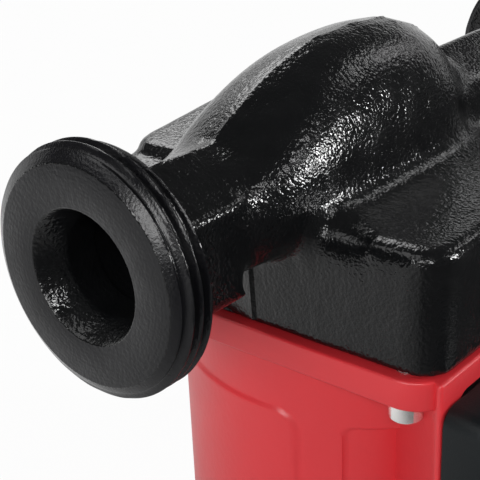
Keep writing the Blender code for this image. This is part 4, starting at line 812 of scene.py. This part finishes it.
zinc_coat = bright_zinc()
for number, (low, high) in enumerate(screw_boxes, 1):
    x, y = (low.x + high.x) / 2, (low.y + high.y) / 2
    head_line = [
        (0.0, high.z),
        (CAP_SHANK_R - CAP_ROUND, high.z),
        (CAP_SHANK_R, high.z - CAP_ROUND),
        (CAP_SHANK_R, low.z + CAP_HEAD),
        (CAP_HEAD_R - CAP_ROUND / 4, low.z + CAP_HEAD),
        (CAP_HEAD_R, low.z + CAP_HEAD - CAP_ROUND / 4),
    ]
    head_line += reversed(quarter((CAP_HEAD_R - CAP_ROUND, low.z + CAP_ROUND), CAP_ROUND, 270.0))
    head_line.append((0.0, low.z))
    screw = spun(head_line, (x, y, 0.0), (0.0, 0.0, 1.0), SCREW_STEPS, lambda r, h: (x + r, y, h))
    key_hole = peg(KEY_R, low.z - KEY_DEEP, low.z + KEY_DEEP, x, y, 6)
    screw = shaped(screw, ("DIFFERENCE", key_hole))
    piece("socket_screw_%d" % number, screw, [zinc_coat], "pump", "bright_steel", "housing_screw_%d" % number)

# Motor end
# A bare sheet disc is pressed into the recess in the end of the motor. The brass vent plug screws
# through its middle on a rubber seal, with one broad slot for a screwdriver.
PLATE_IN_R = 0.0120
PLATE_OUT_R = 0.0357
PLATE_EASE = 0.00022
PLUG_HEAD_R = 0.0115
PLUG_HEAD = 0.0014
PLUG_EASE = 0.00035
PLUG_SLOT = 0.0016
PLUG_SLOT_LONG = 0.85  # of the head's radius, each way
PLUG_SLOT_DEEP = 0.6  # of the head
PLUG_THREAD_R = 0.0061
PLUG_STEPS = 96
VENT_SEAL_EDGE = 0.0002


def bare_sheet():
    """Bare rolled sheet, spun once against a cloth: faint rings and a soft shine."""
    material = finish("bare_sheet", (0.74, 0.75, 0.76), 0.30, 1.0)
    place = wired(material, "ShaderNodeTexCoord", {}).outputs["Object"]
    centre = (0.0, -AXIS_Y, 0.0)
    place = wired(material, "ShaderNodeMapping", {"Vector": place, "Location": centre}).outputs["Vector"]
    sockets = {"Vector": place, "Scale": 260.0, "Distortion": 1.2, "Detail": 3.0}
    rings = wired(
        material, "ShaderNodeTexWave", sockets, wave_type="RINGS", rings_direction="Z"
    ).outputs["Fac"]
    feed(material, "Normal", relief(material, rings, 0.000008))
    feed(material, "Roughness", between(material, speckle(material, 0.003), 0.24, 0.38))
    return material


def softened(node, width, steps=2):
    """A copy of a node with its flat sides whole again and its edges rounded."""
    shape = closed_copy(node)
    flat = math.radians(0.6)
    bmesh.ops.dissolve_limit(shape, angle_limit=flat, verts=shape.verts, edges=shape.edges)

    def round_edges(holder):
        rounding = holder.modifiers.new("rounding", "BEVEL")
        rounding.width = width
        rounding.segments = steps
        rounding.limit_method = "ANGLE"
        rounding.angle_limit = math.radians(40)
        rounding.use_clamp_overlap = False

    return worked(shape, round_edges)


def block(low, high):
    """A plain block between two corners."""
    shape = bmesh.new()
    bmesh.ops.create_cube(shape, size=1.0)
    bmesh.ops.scale(shape, verts=shape.verts, vec=[b - a for a, b in zip(low, high)])
    return moved(shape, *((a + b) / 2 for a, b in zip(low, high)))


plate_low, plate_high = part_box("end_plate")
end_plate = about_motor(
    [
        (PLATE_IN_R, plate_low.z + PLATE_EASE),
        (PLATE_IN_R + PLATE_EASE, plate_low.z),
        (PLATE_OUT_R - PLATE_EASE, plate_low.z),
        (PLATE_OUT_R, plate_low.z + PLATE_EASE),
        (PLATE_OUT_R, plate_high.z),
        (PLATE_IN_R, plate_high.z),
    ],
    BORING_STEPS,
)
piece("end_sheet", end_plate, [bare_sheet()], "pump", "end_plate", "end_plate")
vent_seal = softened("vent_seal", VENT_SEAL_EDGE)
piece("vent_seal_ring", vent_seal, [rubber_coat], "vent_seal", "rubber", "vent_seal")
plug_low, plug_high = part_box("vent_plug")
plug_line = [
    (0.0, plug_high.z),
    (PLUG_THREAD_R - PLUG_EASE, plug_high.z),
    (PLUG_THREAD_R, plug_high.z - PLUG_EASE),
    (PLUG_THREAD_R, plug_low.z + PLUG_HEAD),
    (PLUG_HEAD_R, plug_low.z + PLUG_HEAD),
]
plug_line += reversed(quarter((PLUG_HEAD_R - PLUG_EASE, plug_low.z + PLUG_EASE), PLUG_EASE, 270.0))
plug_line.append((0.0, plug_low.z))
driver_slot = block(
    (-PLUG_SLOT_LONG * PLUG_HEAD_R, AXIS_Y - PLUG_SLOT / 2, plug_low.z - PLUG_HEAD),
    (PLUG_SLOT_LONG * PLUG_HEAD_R, AXIS_Y + PLUG_SLOT / 2, plug_low.z + PLUG_HEAD * PLUG_SLOT_DEEP),
)
vent_plug = shaped(about_motor(plug_line, PLUG_STEPS), ("DIFFERENCE", driver_slot))
piece("vent_plug_turned", vent_plug, [brass_coat], "vent_plug", "brass", "vent_plug")

# Terminal box
# A black thermoplastic moulding with a fine spark-eroded grain. Two slotted screws hold its floor to
# the housing's frame, and a brass one takes the earth wire.
BOX_EDGE = 0.0005
BOX_SIDE_X = -0.0345  # the side wall away from the gland lies beyond this
BOX_WIDER = 0.0032  # and stands further out, to the frame's edge
SLOT_DEEP = 0.45  # of a head's height
SLOT_WIDE = 0.28  # of its radius
HEAD_EASE = 0.25  # of its height
SLOTTED_STEPS = 48
BOX_SCREW = (0.0030, 0.0020, 0.0016)  # head's radius and height, shank's radius


def moulded_black():
    """Black moulding: a fine grain all over, a little duller where it wandered."""
    material = finish("moulded_black", (0.006, 0.008, 0.009), 0.46)
    shader_of(material).inputs["Specular IOR Level"].default_value = 0.22
    grain = speckle(material, 0.00042)
    cloud = speckle(material, 0.012)
    feed(material, "Normal", relief(material, grain, 0.000045))
    feed(material, "Roughness", between(material, cloud, 0.38, 0.50))
    feed(material, "Base Color", blend_of(material, cloud, (0.005, 0.007, 0.008), (0.007, 0.009, 0.010)))
    return material


def widened(shape):
    """A half of the box with its plain side moved out."""
    for point in shape.verts:
        if point.co.x < BOX_SIDE_X:
            point.co.x -= BOX_WIDER
    shape.normal_update()
    return shape


def slotted_screw(node, sizes, name, coat, body, slot):
    """A cheese-head screw that points away from the front, with one slot across its head."""
    head_r, head, shank_r = sizes
    low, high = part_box(node)
    x, z = (low.x + high.x) / 2, (low.z + high.z) / 2
    ease = head * HEAD_EASE
    line = [(0.0, high.y), (shank_r - ease, high.y), (shank_r, high.y - ease), (shank_r, low.y + head)]
    line += [(head_r, low.y + head)]
    line += reversed(quarter((head_r - ease, low.y + ease), ease, 270.0))
    line.append((0.0, low.y))
    screw = spun(line, (x, 0.0, z), (0.0, 1.0, 0.0), SLOTTED_STEPS, lambda r, h: (x + r, h, z))
    gap = block(
        (x - head_r * 1.5, low.y - head, z - SLOT_WIDE * head_r / 2),
        (x + head_r * 1.5, low.y + head * SLOT_DEEP, z + SLOT_WIDE * head_r / 2),
    )
    piece(name, shaped(screw, ("DIFFERENCE", gap)), [coat], body, slot, node)


moulded_coat = moulded_black()
box = widened(softened("terminal_box", BOX_EDGE))
piece("box_moulding", box, [moulded_coat], "pump", "black_plastic", "terminal_box")
for number in (1, 2):
    name = "box_fixing_%d" % number
    slotted_screw("box_screw_%d" % number, BOX_SCREW, name, zinc_coat, "pump", "bright_steel")
slotted_screw("earth_screw", BOX_SCREW, "earth_fixing", brass_coat, "pump", "brass")

# Switch, capacitor, terminal block and leads
# Bought-in pieces on the floor of the box: a cream three-way switch, the motor's grey capacitor, a
# cream terminal block with brass screws, and sleeved winding leads through a rubber grommet.
WIRE_SCREW = (0.0022, 0.0017, 0.0014)
SWITCH_EDGE = 0.0004
CAN_EDGE = 0.0003
GROMMET_EDGE = 0.0002
cream_coat = grained(
    "cream_moulding",
    (0.70, 0.66, 0.54),
    (0.77, 0.73, 0.62),
    rough=(0.36, 0.50),
    grain=0.0007,
    depth=0.00002,
)
grey_coat = grained(
    "grey_can", (0.38, 0.39, 0.39), (0.45, 0.46, 0.46), rough=(0.32, 0.44), grain=0.0009, depth=0.00002
)
sleeve_coat = grained(
    "lead_sleeve",
    (0.50, 0.085, 0.050),
    (0.58, 0.115, 0.070),
    rough=(0.40, 0.55),
    grain=0.0005,
    depth=0.00004,
)
switch = softened("speed_switch", SWITCH_EDGE)
piece("three_way_switch", switch, [cream_coat], "pump", "cream_plastic", "speed_switch")
capacitor = softened("capacitor", CAN_EDGE)
piece("capacitor_can", capacitor, [grey_coat], "pump", "grey_plastic", "capacitor")
wire_block = softened("terminal_block", CAN_EDGE)
piece("wire_block", wire_block, [cream_coat], "pump", "cream_plastic", "terminal_block")
for number in (1, 2, 3):
    name = "wire_screw_%d" % number
    slotted_screw("terminal_screw_%d" % number, WIRE_SCREW, name, brass_coat, "pump", "brass")
grommet = softened("lead_grommet", GROMMET_EDGE)
piece("grommet", grommet, [rubber_coat], "pump", "rubber", "lead_grommet")
leads = closed_copy("winding_leads")
piece("sleeved_leads", leads, [sleeve_coat], "pump", "lead_sleeve", "winding_leads", crease=60)

# Cover of the terminal box
# The same black moulding with round front edges, on a rubber gasket, held by two slotted screws; the
# three speeds are printed round the knob's hole in thick white ink.
COVER_EDGE = 0.0006
COVER_SEAL_EDGE = 0.0002
COVER_SCREW = (0.0032, 0.0016, 0.0016)
FIGURE_HIGH = 0.0034
FIGURE_RISE = 0.00012
FIGURE_SUNK = FIGURE_RISE / 6
FIGURE_R = 0.0132  # from the knob's axis
FIGURE_STEP = math.radians(60)
knob_low, knob_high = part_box("speed_knob")
knob_x, knob_z = (knob_low.x + knob_high.x) / 2, (knob_low.z + knob_high.z) / 2
cover_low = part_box("terminal_cover")[0]


def printed(figure, x, z):
    """One figure of raised ink on the cover's front, upright and centred on a place."""
    letter = bpy.data.curves.new("figure", "FONT")
    letter.body = figure
    letter.size = FIGURE_HIGH
    letter.extrude = FIGURE_RISE / 2
    letter.align_x = "CENTER"
    letter.align_y = "CENTER"
    holder = bpy.data.objects.new("figure", letter)
    bpy.context.scene.collection.objects.link(holder)
    drawn = holder.evaluated_get(bpy.context.evaluated_depsgraph_get())
    mesh = bpy.data.meshes.new_from_object(drawn)
    bpy.data.objects.remove(holder)
    shape = bmesh.new()
    shape.from_mesh(mesh)
    bmesh.ops.remove_doubles(shape, verts=shape.verts, dist=1e-6)
    return moved(upright(shape), x, cover_low.y - FIGURE_RISE / 2 + FIGURE_SUNK, z)


ink_coat = grained(
    "white_ink", (0.76, 0.76, 0.74), (0.82, 0.82, 0.80), rough=(0.42, 0.58), grain=0.0004, depth=0.00001
)
seal = widened(softened("cover_gasket", COVER_SEAL_EDGE))
piece("cover_seal", seal, [rubber_coat], "pump", "rubber", "cover_gasket")
cover = widened(softened("terminal_cover", COVER_EDGE))
piece("cover_moulding", cover, [moulded_coat], "cover", "black_plastic", "terminal_cover")
for number in (1, 2):
    name = "cover_fixing_%d" % number
    slotted_screw("cover_screw_%d" % number, COVER_SCREW, name, zinc_coat, "cover", "bright_steel")
for number in (1, 2, 3):
    turn = FIGURE_STEP * (2 - number)
    figure = printed(str(number), knob_x - FIGURE_R * math.sin(turn), knob_z - FIGURE_R * math.cos(turn))
    piece("speed_figure_%d" % number, figure, [ink_coat], "cover", "cream_plastic")

# Speed knob
# A black moulded knob on the switch's stem, with a bar to grip and a white line at its pointing end.
KNOB_EDGE = 0.0004
KNOB_EDGE_STEPS = 3
MARK_CORNER_STEPS = 3
MARK_WIDE = 0.0009
MARK_LONG = 0.0034
MARK_RISE = 0.00010
MARK_END = 0.0070  # from the knob's axis
knob = softened("speed_knob", KNOB_EDGE, KNOB_EDGE_STEPS)
piece("knob_moulding", knob, [moulded_coat], "knob", "black_plastic", "speed_knob")
mark = plate(
    [
        (-MARK_WIDE / 2, -MARK_END),
        (MARK_WIDE / 2, -MARK_END),
        (MARK_WIDE / 2, MARK_LONG - MARK_END),
        (-MARK_WIDE / 2, MARK_LONG - MARK_END),
    ],
    [MARK_WIDE / 4] * 4,
    -MARK_RISE / 2,
    MARK_RISE,
    0.0,
    MARK_CORNER_STEPS,
)
mark = moved(upright(mark), knob_x, knob_low.y, knob_z)
piece("knob_mark", mark, [ink_coat], "knob", "cream_plastic")

# Cable gland
# Turned and nickel-plated brass: the body passes through the wall of the box with a locknut inside,
# and the hexagon nut squeezes a rubber seal round the cable.
GLAND_EDGE = 0.00025
GLAND_SEAL_EDGE = 0.0002
GLAND_NUT_EDGE = 0.0003
nickel_coat = grained(
    "nickel_plate",
    (0.58, 0.55, 0.50),
    (0.66, 0.63, 0.58),
    rough=(0.16, 0.30),
    grain=0.0006,
    depth=0.000006,
    metallic=1.0,
    stretch=(0.08, 1.0, 1.0),
)
gland_body = softened("gland_body", GLAND_EDGE)
piece("gland_body_turned", gland_body, [nickel_coat], "pump", "nickel_brass", "gland_body")
locknut = softened("gland_locknut", GLAND_EDGE)
piece("gland_locknut_cut", locknut, [nickel_coat], "pump", "nickel_brass", "gland_locknut")
gland_seal = softened("gland_seal", GLAND_SEAL_EDGE)
piece("gland_seal_ring", gland_seal, [rubber_coat], "gland_seal", "rubber", "gland_seal")
gland_nut = softened("gland_nut", GLAND_NUT_EDGE)
piece("gland_nut_cut", gland_nut, [nickel_coat], "gland_nut", "nickel_brass", "gland_nut")

# Studio
# A white sheet under the pump and a white screen behind it. The sheet carries painted shade: as the paint
# mirrors it, its glow is darker on one side of the pump. Small lamps in front and beside the camera make the
# paint sparkle, two broad cards light it from the left, and a small box on the right and a broad one at the
# back draw the edges.
CAMERA_TURN = math.radians(-49.09)
CAMERA_LIFT = math.radians(23.97)
CAMERA_ROLL = math.radians(-2.55)
CAMERA_AWAY = 0.20147
CAMERA_ASIDE = (0.027508, 0.006676)
LENS = 86.925
FLOOR_R = 6.0
SWEEP_R = 1.9
SWEEP_HEIGHT = 0.90
SWEEP_START = 76.0
SWEEP_ARC = 124.0
FLOOR_DROP = 0.0002
WHITE_SHARE = 0.95
PAINTED_SHADE_TURN = math.radians(-170)  # painted shade: the mirrored paper glows brightest this way round from the pump
PAINTED_SHADE_FROM = -0.08
PAINTED_SHADE_TO = 0.15
SKY_LEVEL = 0.10
PAINTED_SHADE_LEVEL = 0.04  # painted shade: how much of the paper's glow the paint mirrors on its darkened side
PAPER = (0.66, 0.66, 0.66)
FLOOR_STEPS = 96
SWEEP_STEPS = 48
LAMPS_AIM_Z = 0.075
SENSOR = 36.0
CLIP_START = 0.01


def switched(material, first, second):
    """The greater of two values."""
    return wired(material, "ShaderNodeMath", {0: first, 1: second}, operation="MAXIMUM").outputs[0]


def sweep_white(painted_shade):
    """White paper that keeps a shadow; with painted shade, the glow the paint mirrors is darker on one side
    of the pump.
    """
    material = finish("painted_shade_paper" if painted_shade else "white_paper", PAPER, 0.9)
    rays = wired(material, "ShaderNodeLightPath", {})
    seen = switched(material, rays.outputs["Is Camera Ray"], rays.outputs["Is Glossy Ray"])
    seen = switched(material, seen, rays.outputs["Is Transmission Ray"])
    seen = wired(material, "ShaderNodeMath", {0: seen, 1: WHITE_SHARE}, operation="MULTIPLY").outputs[0]
    glow = wired(material, "ShaderNodeEmission", {"Color": (1.0, 1.0, 1.0, 1.0), "Strength": 1.0})
    links = material.node_tree.links
    if painted_shade:
        # Painted shade: the paper's mirrored glow runs from dark to full across the floor; the camera sees it
        # full everywhere.
        place = wired(material, "ShaderNodeTexCoord", {}).outputs["Object"]
        bright = (math.sin(PAINTED_SHADE_TURN), -math.cos(PAINTED_SHADE_TURN), 0.0)
        way = wired(material, "ShaderNodeVectorMath", {0: place, 1: bright}, operation="DOT_PRODUCT")
        sockets = {"Value": way.outputs["Value"], "To Min": PAINTED_SHADE_LEVEL, "To Max": 1.0}
        sockets.update({"From Min": PAINTED_SHADE_FROM, "From Max": PAINTED_SHADE_TO})
        level = wired(material, "ShaderNodeMapRange", sockets).outputs["Result"]
        level = switched(material, level, rays.outputs["Is Camera Ray"])
        links.new(level, glow.inputs["Strength"])
    mixed = wired(
        material,
        "ShaderNodeMixShader",
        {0: seen, 1: shader_of(material).outputs[0], 2: glow.outputs[0]},
    )
    links.new(mixed.outputs[0], material.node_tree.nodes["Material Output"].inputs["Surface"])
    return material


def stage_piece(name, shape, material):
    mesh = bpy.data.meshes.new(name)
    shape.to_mesh(mesh)
    shape.free()
    mesh.shade_smooth()
    mesh.materials.append(material)
    thing = bpy.data.objects.new(name, mesh)
    bpy.context.scene.collection.objects.link(thing)
    thing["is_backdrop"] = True


floor = bmesh.new()
bmesh.ops.create_circle(floor, cap_ends=True, segments=FLOOR_STEPS, radius=FLOOR_R)
stage_piece("studio_floor", moved(floor, 0.0, 0.0, -FLOOR_DROP), sweep_white(True))
backdrop = bmesh.new()
line = [backdrop.verts.new((0.0, -SWEEP_R, z)) for z in (-FLOOR_DROP * 2, SWEEP_HEIGHT)]
wall = backdrop.edges.new(line)
bmesh.ops.rotate(
    backdrop, verts=line, cent=(0, 0, 0), matrix=Matrix.Rotation(math.radians(SWEEP_START), 3, "Z")
)
bmesh.ops.spin(
    backdrop,
    geom=line + [wall],
    cent=(0.0, 0.0, 0.0),
    axis=(0.0, 0.0, 1.0),
    angle=math.radians(SWEEP_ARC),
    steps=SWEEP_STEPS,
)
stage_piece("studio_backdrop", backdrop, sweep_white(False))

target = Vector((0.0, AXIS_Y, LAMPS_AIM_Z))


def toward(turn, lift):
    """Unit direction from the pump to a place at a turn and a lift, in degrees."""
    a, e = math.radians(turn), math.radians(lift)
    return Vector((math.sin(a) * math.cos(e), -math.cos(a) * math.cos(e), math.sin(e)))


def panel_lamp(name, turn, lift, away, width, height, watts):
    lamp = bpy.data.lights.new(name, "AREA")
    lamp.shape = "RECTANGLE"
    lamp.size = width
    lamp.size_y = height
    lamp.energy = watts
    holder = bpy.data.objects.new(name, lamp)
    direction = toward(turn, lift)
    holder.location = target + direction * away
    holder.rotation_euler = direction.to_track_quat("Z", "Y").to_euler()
    bpy.context.scene.collection.objects.link(holder)


# name, turn and lift in degrees, distance, width, height, watts
for lamp_row in (
    ("low_lamp", 30.0, 15.0, 0.95, 0.15, 0.15, 5.0),
    ("high_lamp", 15.0, 38.0, 0.95, 0.12, 0.12, 1.0),
    ("camera_lamp", -55.0, 31.0, 0.95, 0.14, 0.14, 2.6),
    ("left_card", -82.0, 16.0, 1.20, 0.50, 0.40, 6.0),
    ("upper_card", -118.0, 44.0, 1.20, 0.80, 0.60, 3.0),
    ("right_box", 71.0, 35.0, 1.20, 0.26, 0.26, 0.9),
    ("back_box", 149.0, 43.0, 1.30, 0.66, 0.60, 7.4),
):
    panel_lamp(*lamp_row)

world = bpy.data.worlds.new("studio_world")
world.use_nodes = True
sky = world.node_tree.nodes["Background"]
sky.inputs["Color"].default_value = (1.0, 1.0, 1.0, 1.0)
seen = world.node_tree.nodes.new("ShaderNodeLightPath")
level = world.node_tree.nodes.new("ShaderNodeMapRange")
level.inputs["To Min"].default_value = SKY_LEVEL
world.node_tree.links.new(seen.outputs["Is Camera Ray"], level.inputs["Value"])
world.node_tree.links.new(level.outputs["Result"], sky.inputs["Strength"])
bpy.context.scene.world = world
bpy.context.scene.view_settings.view_transform = "Standard"

back = toward(math.degrees(CAMERA_TURN), math.degrees(CAMERA_LIFT))
level = Vector((math.cos(CAMERA_TURN), math.sin(CAMERA_TURN), 0.0))
above = back.cross(level)
across = math.cos(CAMERA_ROLL) * level + math.sin(CAMERA_ROLL) * above
upward = math.cos(CAMERA_ROLL) * above - math.sin(CAMERA_ROLL) * level
lens = bpy.data.cameras.new("camera")
lens.lens = LENS
lens.sensor_width = SENSOR
lens.clip_start = CLIP_START
camera = bpy.data.objects.new("camera", lens)
spot = Vector((-PORT_X, AXIS_Y, PORT_Z)) + back * CAMERA_AWAY
spot += across * CAMERA_ASIDE[0] + upward * CAMERA_ASIDE[1]
camera.matrix_world = Matrix.Translation(spot) @ Matrix((across, upward, back)).transposed().to_4x4()
bpy.context.scene.collection.objects.link(camera)
bpy.context.scene.camera = camera

low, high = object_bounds()
